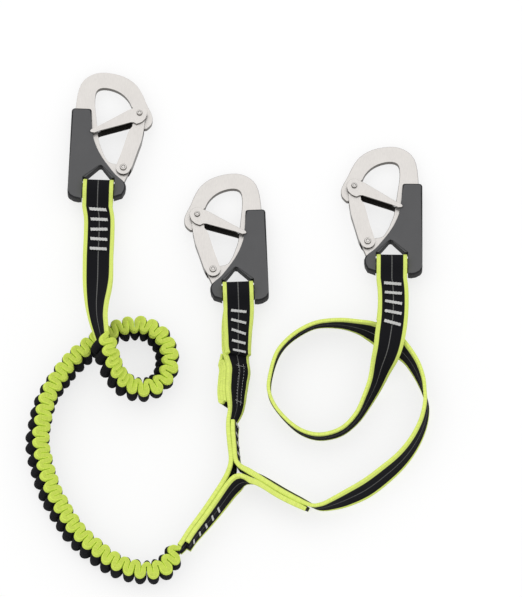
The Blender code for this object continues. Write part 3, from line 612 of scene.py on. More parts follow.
def add_piece(name, bm, finishes, place=Matrix.Identity(4)):
    mesh = bpy.data.meshes.new(name)
    bm.to_mesh(mesh)
    bm.free()
    mesh.shade_smooth()
    mesh.set_sharp_from_angle(angle=math.radians(SHARP_ANGLE))
    obj = add_object(name, mesh)
    obj.matrix_world = place
    for finish in finishes:
        mesh.materials.append(finish)
    return obj


def stand_for(piece, body, slot, node):
    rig.ride(piece, body)
    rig.slot(piece, slot)
    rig.replaces(piece, node)
    return piece


# Hooks' own axes, read from the joints

def joint(name):
    return next(one for one in frame["joints"] if one["name"] == name)


def hook_axes(hook):
    """The hook's own axes at its webbing bar: across, away from the webbing, and out of its plane."""
    swing = joint(f"hook_{hook}_swing")
    across = Vector(swing["axis"]).normalized()
    out = Vector(joint(f"gate_{hook}_open")["axis"]).normalized()
    if out.z < 0:
        out = -out
    away = out.cross(across)
    axes = Matrix((across, away, out)).transposed().to_4x4()
    return Matrix.Translation(swing["pos_m"]) @ axes


def spine_side(hook):
    return -1 if joint(f"gate_{hook}_open")["axis"][2] > 0 else 1


# Webbing legs

def loop_points(bar, leg_way, upper_first):
    """The webbing's middle round the bar, from one layer to the other."""
    radius = BAR_RADIUS + CLEARANCE + WEB_THICK / 2
    turn = [math.radians(LOOP_START + LOOP_TURN * i / LOOP_STEPS) for i in range(LOOP_STEPS + 1)]
    route = [*LOOP_CLOSING] + [(radius * math.cos(angle), radius * math.sin(angle)) for angle in turn]
    route += [(along, -up) for along, up in reversed(LOOP_CLOSING)]
    if not upper_first:
        route = route[::-1]
    up_way = (Vector((0, 0, 1)) - leg_way * leg_way.z).normalized()
    return [bar + leg_way * along + up_way * up for along, up in route]


def hook_webbing(hook, stations):
    """A leg's frames in three runs: its sewn tail, the loop round the hook's bar, and the leg itself."""
    swing = joint(f"hook_{hook}_swing")
    bar = Vector(swing["pos_m"])
    across = Vector(swing["axis"]) * -spine_side(hook)
    flat_way = Vector(swing["axis"]).cross(Vector((0, 0, 1)))
    rise, tail_above = LEAVING[hook]
    rise = math.radians(rise)
    leg_way = flat_way * math.cos(rise) + Vector((0, 0, math.sin(rise)))
    frames = with_normals(route_frames([(bar + leg_way * LEG_START, across)] + stand(stations)))
    pair = (WEB_THICK + CLEARANCE) / 2
    above = 1 if leg_way.cross(across).z > 0 else -1
    tail_side = above if tail_above else -above
    tail, leg = [], []
    for (centre, edge, normal, _), travelled in zip(frames, lengths_along(frames)):
        share = unit((TAIL_LENGTH + TAIL_HOLD + TAIL_FADE - travelled) / TAIL_FADE)
        leg.append((centre - normal * (tail_side * pair * share), edge))
        if travelled <= TAIL_LENGTH:
            tail.append((centre + normal * (tail_side * pair), edge))
    loop = [(point, across.copy()) for point in loop_points(bar, leg_way, tail_above)]
    return tail, loop, leg, above


def leg_routes():
    return {
        1: LEG_1,
        2: LEG_2 + back(WEST_ARM + WEST_BEND + NORTH_ARM),
        3: LEG_3 + back(EAST_ARM) + CORNER + beside(NORTH_ARM, 1),
    }


def fullness(frames):
    """How full the webbing lies at each frame: fuller where the junction's layers are sewn together."""
    shares = []
    for centre, _, _, _ in frames:
        east = max(0.0, centre.x)
        inside = min(JUNCTION_NORTH - JUNCTION_SLOPE * east - centre.y, JUNCTION_EAST - centre.x)
        layer = ARM_FULLNESS + (EAST_FULLNESS - ARM_FULLNESS) * min(1.0, east / JUNCTION_EASE)
        layer += CROTCH_FULLNESS * max(0.0, 1 - abs(centre.x - CROTCH_X) / JUNCTION_EASE)
        shares.append(1 + (layer - 1) * unit(inside / JUNCTION_EASE))
    return shares


def packet_fullness(frames):
    """The middle leg is also fuller beside its folded packet, and half as much at the packet's ends."""
    low, high = OVERLOAD_REACH
    shares = []
    for (centre, _, _, _), share in zip(frames, fullness(frames)):
        inside = min(high - centre.y, centre.y - low)
        shares.append(share + (PACKET_FULLNESS - 1) * unit(0.5 + inside / JUNCTION_EASE))
    return shares


def build_legs(webbing):
    legs = {}
    for hook, stations in leg_routes().items():
        tail, loop, leg, above = hook_webbing(hook, stations)
        whole = with_normals(tail[::-1] + loop + leg)
        full = packet_fullness(whole) if hook == 2 else fullness(whole)
        piece = band(f"leg_{hook}", whole, webbing_section(WEB_WIDTH, WEB_THICK), webbing, full)
        stand_for(piece, "line", "black_webbing", f"webbing_leg_{hook}")
        sewn = tail if LEAVING[hook][1] else leg
        legs[hook] = {"piece": piece, "path": [one[0] for one in loop + leg], "leg": with_normals(leg),
                      "sewn": with_normals(sewn), "above": above}
    return legs


def build_junction(webbing):
    crotch = beside(WEST_ARM[1:], 1) + CROTCH + beside(EAST_ARM[1:], EAST_LAYERS)
    frames = with_normals(route_frames(stand(crotch)))
    outer = band("junction_outer", frames, webbing_section(WEB_WIDTH, WEB_THICK), webbing, fullness(frames))
    stand_for(outer, "line", "black_webbing", "junction_strap")
    return outer, frames


def half_turn(before, after):
    """A small round bend from the end of one layer to the start of the next."""
    edge = before[-1][1]
    ahead = (before[-1][0] - before[-2][0]).normalized()
    middle = (before[-1][0] + after[0][0]) / 2
    side = before[-1][0] - middle
    return [(middle + side * math.cos(angle) + ahead * (side.length * math.sin(angle)), edge)
            for angle in (math.radians(degrees) for degrees in (30, 60, 90, 120, 150))]


def packet_ply(ply, inside, above):
    """One ply beside the leg; the outermost one runs on upwards and closes on the leg."""
    away = WEB_THICK / 2 + PACKET_GAP + PACKET_PITCH * (ply + 0.5)
    row = [(centre + normal * away, edge) for centre, edge, normal, _ in inside]
    if ply < OVERLOAD_PLIES - 1:
        return row
    closing = []
    for i, (centre, edge, normal, _) in enumerate(above):
        share = 1 - math.cos(math.pi / 2 * (len(above) - i) / len(above))
        closing.append((centre + normal * (away - (away - PACKET_END) * share), edge))
    return closing + row


def build_packet(leg, webbing):
    """The middle leg's spare webbing, folded back and forth beside it."""
    low, high = OVERLOAD_REACH
    inside = [one for one in leg if low < one[0].y < high]
    above = [one for one in leg if high <= one[0].y < high + PACKET_CLOSING]
    frames = []
    for ply in range(OVERLOAD_PLIES):
        row = packet_ply(ply, inside, above)
        if ply % 2 == 0:
            row = row[::-1]
        if frames:
            frames += half_turn(frames, row)
        frames += row
    outline = webbing_section(WEB_WIDTH, PACKET_PITCH - PLY_PLAY, PACKET_CORNER)
    packet = band("overload_packet", with_normals(frames), outline, webbing)
    return stand_for(packet, "line", "black_webbing", "overload_fold")


# Elastic leg

def bend_of_route(middle, upward, lengths, place):
    """The route's sideways direction, and how fast it turns that way, at a place along it."""
    places = [max(0.0, place - BEND_REACH), place, min(lengths[-1], place + BEND_REACH)]
    before, (here, edge), after = resample(middle, upward, lengths, places)
    sideways = (after[0] - before[0]).cross(edge).normalized()
    first, second = here - before[0], after[0] - here
    if min(first.length, second.length) < SHORT_STEP:
        return sideways, 0.0
    turning = (second.normalized() - first.normalized()).dot(sideways) / ((places[2] - places[0]) / 2)
    return sideways, turning


def fold_turn(number, side, place, turning, pitch):
    """One fold's round turn: places along the route, offsets across it, and how full the tube is."""
    reach = FOLD_TOP_REACH + sway(REACH_SWAY, number)
    stretch = 1 - side * turning * reach
    spare = FOLD_WEDGE * (1 + max(-1.0, min(1.0, (stretch - 1) / WEDGE_STRETCH)))
    full = pitch * stretch / 2 - spare
    radius = full / 2 + FOLD_PLAY
    swell = side * (1 + INNER_SWELL * unit((1 - stretch) / SWELL_STRETCH))
    rows = []
    for degrees in range(0, 181, FOLD_TURN_STEP):
        angle = math.radians(degrees)
        away = math.sin(angle)
        along = sway(LEAN_SWAY, number) * away - radius * math.cos(angle)
        rows.append({"place": place + along / stretch, "shift": side * (reach - radius + radius * away),
                     "full": full / FOLD_THICK, "bulge": swell * away, "number": number})
    return rows


def strand(first, second):
    """The straight run of tube between two turns."""
    rows = []
    for share in (0.25, 0.5, 0.75):
        row = {key: first[key] + (second[key] - first[key]) * share for key in first}
        row["bulge"] = 0.0
        row["full"] += STRAND_SWELL * math.sin(math.pi * share)
        rows.append(row)
    return rows


def end_rows(number, *places):
    """The tube's ungathered ends."""
    return [{"place": place, "shift": 0.0, "full": END_FULLNESS, "bulge": 0.0, "number": number}
            for place in places]


def elastic_rows(middle, upward, lengths):
    """The gathered tube's course: turns that alternate from side to side, pressed against each other."""
    pitch = (lengths[-1] - 2 * WEB_THICK) / FOLD_COUNT
    rows = end_rows(0, 0.0, END_RUN)
    for number in range(2 * FOLD_COUNT):
        side = 1 if number % 2 == 0 else -1
        place = WEB_THICK + pitch * (number + 0.5) / 2
        _, turning = bend_of_route(middle, upward, lengths, place)
        turn = fold_turn(number, side, place, turning, pitch)
        if number:
            rows += strand(rows[-1], turn[0])
        rows += turn
    return rows + end_rows(2 * FOLD_COUNT, lengths[-1] - END_RUN, lengths[-1])


def elastic_frames():
    poses = stand(ELASTIC, CAD_FOLD_REACH)
    middle, upward = (smooth(vectors, ELASTIC_STEPS) for vectors in zip(*poses))
    lengths = running_lengths(middle)
    rows = elastic_rows(middle, upward, lengths)
    frames, bulges = [], []
    for row in rows:
        place = max(0.0, min(lengths[-1], row["place"]))
        ((centre, edge),) = resample(middle, upward, lengths, [place])
        sideways, _ = bend_of_route(middle, upward, lengths, place)
        frames.append((centre + sideways * row["shift"] + edge * sway(DIP_SWAY, row["number"]), edge))
        bulges.append(sideways * (row["bulge"] * FOLD_BULGE))
    return with_normals(frames), [row["full"] for row in rows], bulges, middle


def build_elastic(knit, core_finish):
    frames, full, bulges, middle = elastic_frames()
    sleeve = band("elastic_leg", frames, tube_section(WEB_WIDTH, FOLD_THICK), knit, full, bulges)
    stand_for(sleeve, "line", "lime_webbing", "elastic_sleeve")
    core = band("elastic_band", frames, webbing_section(CORE_WIDTH, CORE_THICK), core_finish)
    stand_for(core, "line", "elastic_band", "elastic_core")
    return sleeve, core, middle[::PATH_STEP] + [middle[-1]]


# Sewing

def frame_at(frames, lengths, place):
    """A place along a band: its point, its edge's direction, the way along it and its face's normal."""
    middle, upward = zip(*[one[:2] for one in frames])
    (point, edge), (ahead, _) = resample(middle, upward, lengths, [place, place + SHORT_STEP])
    way = (ahead - point).normalized()
    return point, edge, way, way.cross(edge).normalized()


def bar_stitches(spot, facing, number, length, width, slant):
    """One dense bar of short stitches across the band, a little crooked as sewn bars are."""
    point, edge, way, normal = spot
    count = round(length / STITCH_PITCH)
    slant = slant * math.copysign(1, edge.x) + sway(SLANT_SWAY, number)
    lifted = normal * (facing * (WEB_THICK / 2 + TACK_LIFT))
    crown = normal * (facing * STITCH_CROWN)
    stitches = []
    for i in range(count + 1):
        across = length * (i / count - 0.5) + sway(BAR_SWAY, number)
        middle = point + edge * across + way * (slant * across) + lifted
        half = width / 2 * (1 + sway(STITCH_SWAY, i + number / 5))
        reach = way * half + edge * STITCH_LEAN
        stitches.append([middle - reach - crown, middle, middle + reach - crown])
    return stitches


def thread_piece(name, runs, finish, radius=THREAD_RADIUS):
    curve = bpy.data.curves.new(name, "CURVE")
    curve.dimensions = "3D"
    curve.bevel_depth = radius
    curve.bevel_resolution = 2
    curve.use_fill_caps = True
    for run in runs:
        spline = curve.splines.new("POLY")
        spline.points.add(len(run) - 1)
        for slot, point in zip(spline.points, run):
            slot.co = (point.x, point.y, point.z, 1.0)
    curve.materials.append(finish)
    return add_object(name, curve)


def build_tack_row(row, frames, facing, finish):
    start, pitch, length, width, slant = TACK_ROWS[row]
    lengths = lengths_along(frames)
    runs = []
    for i in range(TACK_COUNT):
        spot = frame_at(frames, lengths, start + pitch * i)
        runs += bar_stitches(spot, facing, i, length, width, slant)
    piece = thread_piece(f"tacks_{row}", runs, finish)
    return stand_for(piece, "line", "light_grey_thread", f"bar_tacks_{row}")


def build_packet_stitches(leg, facing, finish):
    """Two dotted seams along the packet and a short bar across each end."""
    lengths = lengths_along(leg)
    inside = [along for one, along in zip(leg, lengths) if OVERLOAD_REACH[0] < one[0].y < OVERLOAD_REACH[1]]
    lift = facing * (WEB_THICK / 2 + SEAM_LIFT)
    runs = []
    for across in SEAMS:
        place = inside[0] + SEAM_START
        while place < inside[-1] - SEAM_END:
            point, edge, way, normal = frame_at(leg, lengths, place)
            start = point + edge * across + normal * lift
            crown = way * (SEAM_STITCH / 2) + normal * (facing * SEAM_CROWN)
            runs.append([start, start + crown, start + way * SEAM_STITCH])
            place += SEAM_PITCH
    for place in (inside[0] + SEAM_BAR_INSET, inside[-1] - SEAM_BAR_INSET):
        point, edge, _, normal = frame_at(leg, lengths, place)
        runs.append([point + edge * across + normal * lift for across in SEAM_BAR])
    piece = thread_piece("packet_stitches", runs, finish, SEAM_THREAD)
    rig.ride(piece, "line")
    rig.slot(piece, "light_grey_thread")
    return piece


# Hooks

def refined(hook, name, node, body, slot, finishes, choose, bevel, segments=2):
    """A finer copy of a CAD piece in the hook's own axes, with rounded edges and a finish for each face; a second,
    dark finish is painted shade.
    """
    axes = hook_axes(hook)
    bm = bmesh.new()
    bm.from_mesh(frame["nodes"][f"hook_{hook}_{node}"].data)
    bm.transform(axes.inverted())
    bmesh.ops.remove_doubles(bm, verts=bm.verts, dist=MERGE_GAP)
    bmesh.ops.dissolve_limit(bm, angle_limit=math.radians(MERGE_ANGLE), verts=bm.verts, edges=bm.edges)
    for face in bm.faces:
        face.material_index = choose(face.calc_center_median(), face.normal)
    obj = add_piece(f"hook_{hook}_{name}", bm, finishes, axes)
    rounding = obj.modifiers.new("rounded_edges", "BEVEL")
    rounding.width = bevel
    rounding.segments = segments
    rounding.limit_method = "ANGLE"
    rounding.angle_limit = math.radians(EDGE_ANGLE)
    flat_faces = obj.modifiers.new("flat_faces", "WEIGHTED_NORMAL")
    flat_faces.weight = 100
    return stand_for(obj, f"{body}_{hook}", slot, f"hook_{hook}_{node}")


def all_alike(*_):
    """Every face has the first finish."""
    return 0


def round_corners(obj):
    """Round the upright edges at the grip's upper corners."""
    bm = bmesh.new()
    bm.from_mesh(obj.data)
    upright = []
    for edge in bm.edges:
        way = edge.verts[0].co - edge.verts[1].co
        beyond = min(vert.co.y for vert in edge.verts) > CORNER_START
        sharp = len(edge.link_faces) == 2 and edge.calc_face_angle(0.0) > math.radians(CORNER_ANGLE)
        if beyond and sharp and abs(way.z) > way.length * CORNER_UPRIGHT:
            upright.append(edge)
    bmesh.ops.bevel(bm, geom=upright, offset=CORNER_RADIUS, offset_type="OFFSET", segments=4, profile=0.5,
                    affect="EDGES", clamp_overlap=False, material=-1)
    bm.to_mesh(obj.data)
    bm.free()


def fill_slot_corners(obj, side):
    """The moulding comes further in beside the webbing: a block in each corner of the slot's gable. Its walls take the
    moulding's painted side shade and so stand in for shadow in those corners too.
    """
    bm = bmesh.new()
    bm.from_mesh(obj.data)
    for outline in SLOT_CORNERS:
        rings = []
        for height in (-SLOT_CORNER_HEIGHT, SLOT_CORNER_HEIGHT):
            rings.append([bm.verts.new((side * x, y, height)) for x, y in outline])
        skin(bm, rings)
    bm.to_mesh(obj.data)
    bm.free()


def gate_faces(side):
    """The folded gate's inside takes the dark steel as painted shade: its two sheets' inner faces and the web's inner
    face.
    """
    def choose(centre, normal):
        on_sheet = abs(normal.z) > SHEET_FACING and abs(centre.z) < GATE_INSIDE
        on_web = normal.x * side > WEB_FACING and abs(centre.z) < WEB_INSIDE
        return 1 if on_sheet or on_web else 0
    return choose


def lever_faces(centre, normal):
    """The lever's inside takes the dark steel as painted shade too, and so does its lower sheet's edge towards the
    webbing.
    """
    on_sheet = abs(normal.z) > SHEET_FACING and abs(centre.z) < LEVER_INSIDE
    on_web = normal.y < -WEB_FACING and abs(centre.z) < WEB_INSIDE
    on_far_edge = normal.y < -EDGE_FACING and centre.z < LEVER_UNDERSIDE
    return 1 if on_sheet or on_web or on_far_edge else 0


def rivet(hook, name, node, body, finishes):
    """A turned rivet head with a dished middle, in place of a CAD rivet."""
    node = f"hook_{hook}_{node}"
    axes = hook_axes(hook)
    low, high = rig.box(node)
    middle = axes.inverted() @ ((low + high) / 2)
    corners = [axes.inverted() @ vert.co for vert in frame["nodes"][node].data.vertices]
    top = max(point.z for point in corners)
    radii = [(point - middle).to_2d().length for point in corners]
    head, pin = max(radii), min(radius for radius in radii if radius > LEAST_PIN)
    levels = [(head * share, top + depth) for share, depth in RIVET_PROFILE]
    levels.append((pin, levels[-1][1]))
    levels += [(radius, -height) for radius, height in reversed(levels)]
    bm = bmesh.new()
    turn = [2 * math.pi * i / RIVET_STEPS for i in range(RIVET_STEPS)]
    rings = []
    for radius, height in levels:
        rings.append([bm.verts.new((middle.x + radius * math.cos(angle),
                                    middle.y + radius * math.sin(angle), height)) for angle in turn])
    skin(bm, rings)
    for face in bm.faces:
        share = (face.calc_center_median() - middle).to_2d().length / head
        # The groove takes the second, dark steel: painted shade.
        face.material_index = 1 if RIVET_GROOVE[0] < share < RIVET_GROOVE[1] else 0
    piece = add_piece(f"hook_{hook}_{name}", bm, finishes, axes)
    return stand_for(piece, f"{body}_{hook}", "stainless_steel", node)


def build_plate(hook, looks):
    refined(hook, "arch", "plate", "hook", "stainless_steel", looks["sheet"][:1], all_alike, PLATE_EDGE, 3)


def build_grip(hook, looks):
    rubber = [looks["moulded_rubber"]]
    grip = refined(hook, "cover", "grip", "hook", "dark_grey_rubber", rubber, all_alike, GRIP_EDGE)
    round_corners(grip)
    fill_slot_corners(grip, spine_side(hook))


def build_gate(hook, looks):
    inside = gate_faces(spine_side(hook))
    refined(hook, "gate_sheet", "gate", "gate", "stainless_steel", looks["sheet"], inside, SHEET_EDGE)


def build_lever(hook, looks):
    refined(hook, "lever_sheet", "lever", "lever", "stainless_steel", looks["sheet"], lever_faces,
            SHEET_EDGE)


def build_rivets(hook, looks):
    rivet(hook, "gate_pin_head", "gate_rivet", "hook", looks["sheet"])
    rivet(hook, "lever_pin_head", "lever_rivet", "lever", looks["sheet"])


def paint_springs(hook, looks):
    """The springs stay as the CAD has them, with a finish of their own."""
    for spring in ("gate_spring", "lever_spring"):
        materials = frame["nodes"][f"hook_{hook}_{spring}"].data.materials
        materials.clear()
        materials.append(looks["spring_wire"])


# Materials

def add_node(tree, kind, inputs=None, **settings):
    """A node with its settings, and each input given as a value or as another node's output."""
    made = tree.nodes.new(kind)
    for name, value in settings.items():
        setattr(made, name, value)
    for name, value in (inputs or {}).items():
        if isinstance(value, bpy.types.NodeSocket):
            tree.links.new(value, made.inputs[name])
        else:
            made.inputs[name].default_value = value
    return made


def sums(tree, operation, *values):
    return add_node(tree, "ShaderNodeMath", dict(enumerate(values)), operation=operation).outputs[0]


def ramp(tree, value, low, high, out_low=0.0, out_high=1.0):
    """A value carried over from one stretch of numbers to another, and kept within it."""
    made = add_node(tree, "ShaderNodeMapRange", {"Value": value, "From Min": low, "From Max": high,
                                                 "To Min": out_low, "To Max": out_high})
    return made.outputs["Result"]


def blend_colour(tree, share, first, second):
    """A mix of two colours: for colours the node's sockets are 0, 6 and 7, and its result is 2."""
    return add_node(tree, "ShaderNodeMix", {0: share, 6: first, 7: second}, data_type="RGBA").outputs[2]


def new_group(name, inputs, outputs):
    """A node group, what it is given, and where its results go."""
    group = bpy.data.node_groups.new(name, "ShaderNodeTree")
    for way, sockets in (("INPUT", inputs), ("OUTPUT", outputs)):
        for socket in sockets:
            group.interface.new_socket(name=socket, in_out=way, socket_type="NodeSocketFloat")
    return group, add_node(group, "NodeGroupInput").outputs, add_node(group, "NodeGroupOutput").inputs


def weave_group():
    """Rows of raised yarn: Rib is a row's width, Pick its stitch length, in metres."""
    group, given, result = new_group("weave", ("Along", "Across", "Rib", "Pick"), ("Height", "Fray"))
    row_place = sums(group, "DIVIDE", given["Across"], given["Rib"])
    row_round = sums(group, "SINE", sums(group, "MULTIPLY", sums(group, "FRACT", row_place), math.pi))
    shifted = sums(group, "MULTIPLY", sums(group, "FLOOR", row_place), 0.5)
    step = sums(group, "ADD", sums(group, "DIVIDE", given["Along"], given["Pick"]), shifted)
    step_round = sums(group, "ABSOLUTE", sums(group, "SINE", sums(group, "MULTIPLY", step, math.pi)))
    yarn = sums(group, "MULTIPLY", row_round, ramp(group, step_round, 0.0, 1.0, 0.35, 1.0))
    place = add_node(group, "ShaderNodeCombineXYZ", {"X": given["Along"], "Y": given["Across"]})
    fray = add_node(group, "ShaderNodeTexNoise", {"Vector": place.outputs[0], "Scale": FRAY_SCALE,
                                                  "Detail": 3.0})
    group.links.new(yarn, result["Height"])
    group.links.new(fray.outputs[0], result["Fray"])
    return group


def grain_group():
    """Fine uneven grain in the piece's own space; Stretch draws it out along the piece's length."""
    group, given, result = new_group("grain", ("Size", "Stretch"), ("Grain", "Patches"))
    space = add_node(group, "ShaderNodeTexCoord").outputs["Object"]
    rate = sums(group, "DIVIDE", 1.0, given["Size"])
    slower = sums(group, "DIVIDE", 1.0, given["Stretch"])
    drawn = add_node(group, "ShaderNodeCombineXYZ", {"X": 1.0, "Y": slower, "Z": 1.0})
    place = add_node(group, "ShaderNodeVectorMath", {0: space, 1: drawn.outputs[0]}, operation="MULTIPLY")
    fine = add_node(group, "ShaderNodeTexNoise", {"Vector": place.outputs[0], "Scale": rate, "Detail": 4.0})
    broad = add_node(group, "ShaderNodeTexNoise", {"Vector": space, "Scale": PATCH_SCALE, "Detail": 2.0})
    group.links.new(fine.outputs[0], result["Grain"])
    group.links.new(broad.outputs[0], result["Patches"])
    return group


def face_group():
    """How far a surface turns away from its hook's flat faces: 0 on them and 1 on the cut sides, where it sets the
    painted side shade.
    """
    group, given, result = new_group("face", ("Flat", "Turned"), ("Side",))
    normal = add_node(group, "ShaderNodeTexCoord").outputs["Normal"]
    parts = add_node(group, "ShaderNodeSeparateXYZ", {"Vector": normal})
    height = sums(group, "ABSOLUTE", parts.outputs["Z"])
    group.links.new(ramp(group, height, given["Turned"], given["Flat"], 1.0, 0.0), result["Side"])
    return group


def start_material(name, roughness, metallic=0.0):
    made = bpy.data.materials.new(name)
    made.use_nodes = True
    shader = made.node_tree.nodes["Principled BSDF"]
    shader.inputs["Roughness"].default_value = roughness
    shader.inputs["Metallic"].default_value = metallic
    shader.inputs["Specular IOR Level"].default_value = METAL_GLOSS if metallic else PLAIN_GLOSS
    return made, made.node_tree, shader


def add_effect(tree, group, values):
    return add_node(tree, "ShaderNodeGroup", values, node_tree=group)


def add_bump(tree, shader, height, strength, distance):
    bump = add_node(tree, "ShaderNodeBump", {"Height": height, "Strength": strength, "Distance": distance})
    tree.links.new(bump.outputs["Normal"], shader.inputs["Normal"])


def band_place(tree, effect):
    """Give an effect the place along a band and across it, from the band's map."""
    chart = add_node(tree, "ShaderNodeUVMap", uv_map="Band")
    parts = add_node(tree, "ShaderNodeSeparateXYZ", {"Vector": chart.outputs[0]})
    tree.links.new(parts.outputs["X"], effect.inputs["Along"])
    tree.links.new(parts.outputs["Y"], effect.inputs["Across"])
    return parts.outputs["X"], parts.outputs["Y"]


def scaled_colour(tree, shader, colour, light):
    shaded = add_node(tree, "ShaderNodeVectorMath", {0: colour, "Scale": light}, operation="SCALE")
    tree.links.new(shaded.outputs[0], shader.inputs["Base Color"])


def yarn_colour(tree, shader, colour, effect, deepest_shade):
    """Darken a colour between the yarns as painted shade, lighten it a touch on their crowns as painted light, and let
    it vary a little.
    """
    depth = ramp(tree, effect.outputs["Height"], 0.0, 0.7, deepest_shade, 1.06)
    light = sums(tree, "MULTIPLY", depth, ramp(tree, effect.outputs["Fray"], *NOISE, 0.92, 1.08))
    scaled_colour(tree, shader, colour, light)


def textile(name, group, weave):
    """A woven material to be coloured: fibres have hardly any gloss."""
    made, tree, shader = start_material(name, TEXTILE_ROUGHNESS)
    shader.inputs["Specular IOR Level"].default_value = TEXTILE_GLOSS
    effect = add_effect(tree, group, dict(zip(("Rib", "Pick"), weave)))
    along, across = band_place(tree, effect)
    return made, tree, shader, effect, along, across


def webbing_material(group):
    """Black webbing with lime selvedges and a thin grey marker line."""
    made, tree, shader, effect, along, across = textile("black_and_lime_webbing", group, WEB_WEAVE)
    off_centre = sums(tree, "ABSOLUTE", across)
    selvedge = ramp(tree, off_centre, *SELVEDGE)
    stitches = sums(tree, "FRACT", sums(tree, "DIVIDE", along, MARKER_DASH))
    dashes = ramp(tree, stitches, 0.02, 0.20, 0.45, 1.0)
    marker = sums(tree, "MULTIPLY", ramp(tree, off_centre, *MARKER, 1.0, 0.0), dashes)
    colour = blend_colour(tree, selvedge, BLACK, LIME)
    colour = blend_colour(tree, marker, colour, MARKER_GREY)
    yarn_colour(tree, shader, colour, effect, 0.80)
    add_bump(tree, shader, effect.outputs["Height"], 0.40, YARN_DEPTH)
    return made


def elastic_material(group):
    """Soft tube: lime along its upper edge, black below."""
    made, tree, shader, effect, _, across = textile("lime_and_black_tube", group, TUBE_WEAVE)
    upper = ramp(tree, across, TUBE_STRIPE, TUBE_STRIPE + STRIPE_FADE)
    colour = blend_colour(tree, upper, BLACK, TUBE_LIME)
    yarn_colour(tree, shader, colour, effect, 0.76)
    add_bump(tree, shader, effect.outputs["Height"], 0.45, YARN_DEPTH)
    return made


def grained_material(name, grain, face):
    """A plain finish with grain and patches, and cut sides darkened as painted shade."""
    flat_colour, side_shade_colour, roughness, metallic, size, stretch, contrast, bump = FINISHES[name]
    made, tree, shader = start_material(name, roughness, metallic)
    effect = add_effect(tree, grain, {"Size": size, "Stretch": stretch})
    fine, broad = effect.outputs["Grain"], effect.outputs["Patches"]
    light = sums(tree, "ADD", ramp(tree, fine, *NOISE, 1 - contrast, 1 + contrast),
                 ramp(tree, broad, *NOISE, -contrast / 2, contrast / 2))
    side = add_effect(tree, face, LIMITS.get(name, SHEET_LIMITS)).outputs["Side"]
    colour = blend_colour(tree, side, (*flat_colour, 1), (*side_shade_colour, 1))
    scaled_colour(tree, shader, colour, light)
    worn = ramp(tree, fine, *NOISE, roughness * 0.85, roughness * 1.15)
    tree.links.new(worn, shader.inputs["Roughness"])
    add_bump(tree, shader, fine, bump, size * 0.2)
    return made


def make_looks():
    weave, grain, face = weave_group(), grain_group(), face_group()
    looks = {name: grained_material(name, grain, face) for name in FINISHES}
    looks["webbing"] = webbing_material(weave)
    looks["elastic"] = elastic_material(weave)
    # The sheets' second steel is painted shade for their insides and the rivets' grooves.
    looks["sheet"] = [looks["satin_steel"], looks["shaded_steel"]]
    return looks


# Camera, light and table

def add_camera():
    data = bpy.data.cameras.new("camera")
    data.sensor_width = SENSOR
    data.lens = SENSOR * CAMERA_DISTANCE / PICTURE_HEIGHT
    data.clip_end = 100.0
    obj = add_object("camera", data)
    angle = math.radians(CAMERA_ELEVATION)
    obj.location = AIM + Vector((0, -math.cos(angle), math.sin(angle))) * CAMERA_DISTANCE
    obj.rotation_euler = (math.radians(90) - angle, 0, 0)
    bpy.context.scene.camera = obj


def seen_directly(tree):
    """1 for rays from the camera, from glossy surfaces and through glass."""
    path = add_node(tree, "ShaderNodeLightPath").outputs
    seen = sums(tree, "MAXIMUM", path["Is Camera Ray"], path["Is Glossy Ray"])
    return sums(tree, "MAXIMUM", seen, path["Is Transmission Ray"])


def add_world():
    """A white room: plain white where it is seen, and a little dimmer as a light."""
    world = bpy.data.worlds.new("studio")
    world.use_nodes = True
    tree = world.node_tree
    strength = ramp(tree, seen_directly(tree), 0.0, 1.0, ROOM_LIGHT, 1.0)
    background = tree.nodes["Background"]
    background.inputs["Color"].default_value = (1, 1, 1, 1)
    tree.links.new(strength, background.inputs["Strength"])
    bpy.context.scene.world = world


def add_sun():
    data = bpy.data.lights.new("window", "SUN")
    data.energy = SUN_POWER
    data.angle = math.radians(SUN_WIDTH)
    obj = add_object("window", data)
    obj.visible_glossy = False
    obj.rotation_euler = [math.radians(degrees) for degrees in SUN_TURN]


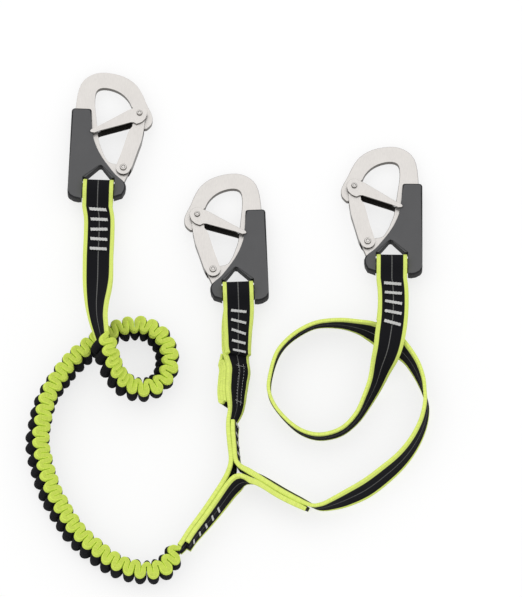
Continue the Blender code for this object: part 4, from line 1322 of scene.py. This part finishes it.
def add_table():
    """A white table that keeps a faint shadow: most of its white is its own, the rest is lit."""
    bm = bmesh.new()
    bmesh.ops.create_grid(bm, x_segments=1, y_segments=1, size=TABLE_SIZE)
    made, tree, shader = start_material("white_table", TEXTILE_ROUGHNESS)
    seen = seen_directly(tree)
    bounced, lit = ((grey, grey, grey, 1) for grey in (TABLE_BOUNCE, TABLE_LIT))
    tree.links.new(blend_colour(tree, seen, bounced, lit), shader.inputs["Base Color"])
    shader.inputs["Specular IOR Level"].default_value = 0.0
    shader.inputs["Emission Color"].default_value = (1, 1, 1, 1)
    own = sums(tree, "MULTIPLY", seen, TABLE_WHITE - TABLE_LIT)
    tree.links.new(own, shader.inputs["Emission Strength"])
    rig.stage(add_piece("table", bm, [made]))


def declare_cords(legs, sleeve, core, route, with_leg):
    for hook, one in legs.items():
        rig.cord(one["piece"], exit=one["path"][0], length=LEG_LENGTHS[hook], diameter=WEB_WIDTH,
                far_end="object", stiffness="limp", lay="loose", path=one["path"],
                with_pieces=with_leg[hook])
    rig.cord(sleeve, exit=route[-1], length=ELASTIC_LENGTH, diameter=WEB_WIDTH, far_end="object",
            stiffness="medium", lay="loose", path=route[::-1], with_pieces=[core])


def build_line(looks):
    """The webbing, the elastic and the sewing, and which pieces go with which free band."""
    webbing = looks["webbing"]
    thread = looks["grey_thread"]
    legs = build_legs(webbing)
    outer, junction = build_junction(webbing)
    packet = build_packet(legs[2]["leg"], webbing)
    sleeve, core, route = build_elastic(looks["elastic"], looks["latex_band"])
    with_leg = {}
    for hook, one in legs.items():
        with_leg[hook] = [build_tack_row(str(hook), one["sewn"], one["above"], thread)]
    north = build_tack_row("north", legs[3]["leg"][::-1], -1, thread)
    west = build_tack_row("west", junction, 1, thread)
    with_leg[2] += [packet, build_packet_stitches(legs[2]["leg"], -1, thread)]
    with_leg[3] += [outer, north, west]
    declare_cords(legs, sleeve, core, route, with_leg)


def write_sizes():
    boxes = {"cad": cad_box, "visual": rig.bounds()}
    with open("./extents.json", "w") as file:
        json.dump({name: [list(corner) for corner in box] for name, box in boxes.items()}, file, indent=1)


add_camera()
looks = make_looks()
build_line(looks)
for hook in LEAVING:
    build_plate(hook, looks)
    build_grip(hook, looks)
    build_gate(hook, looks)
    build_lever(hook, looks)
    build_rivets(hook, looks)
    paint_springs(hook, looks)
add_world()
add_sun()
add_table()
bpy.context.scene.view_settings.view_transform = "Standard"
write_sizes()
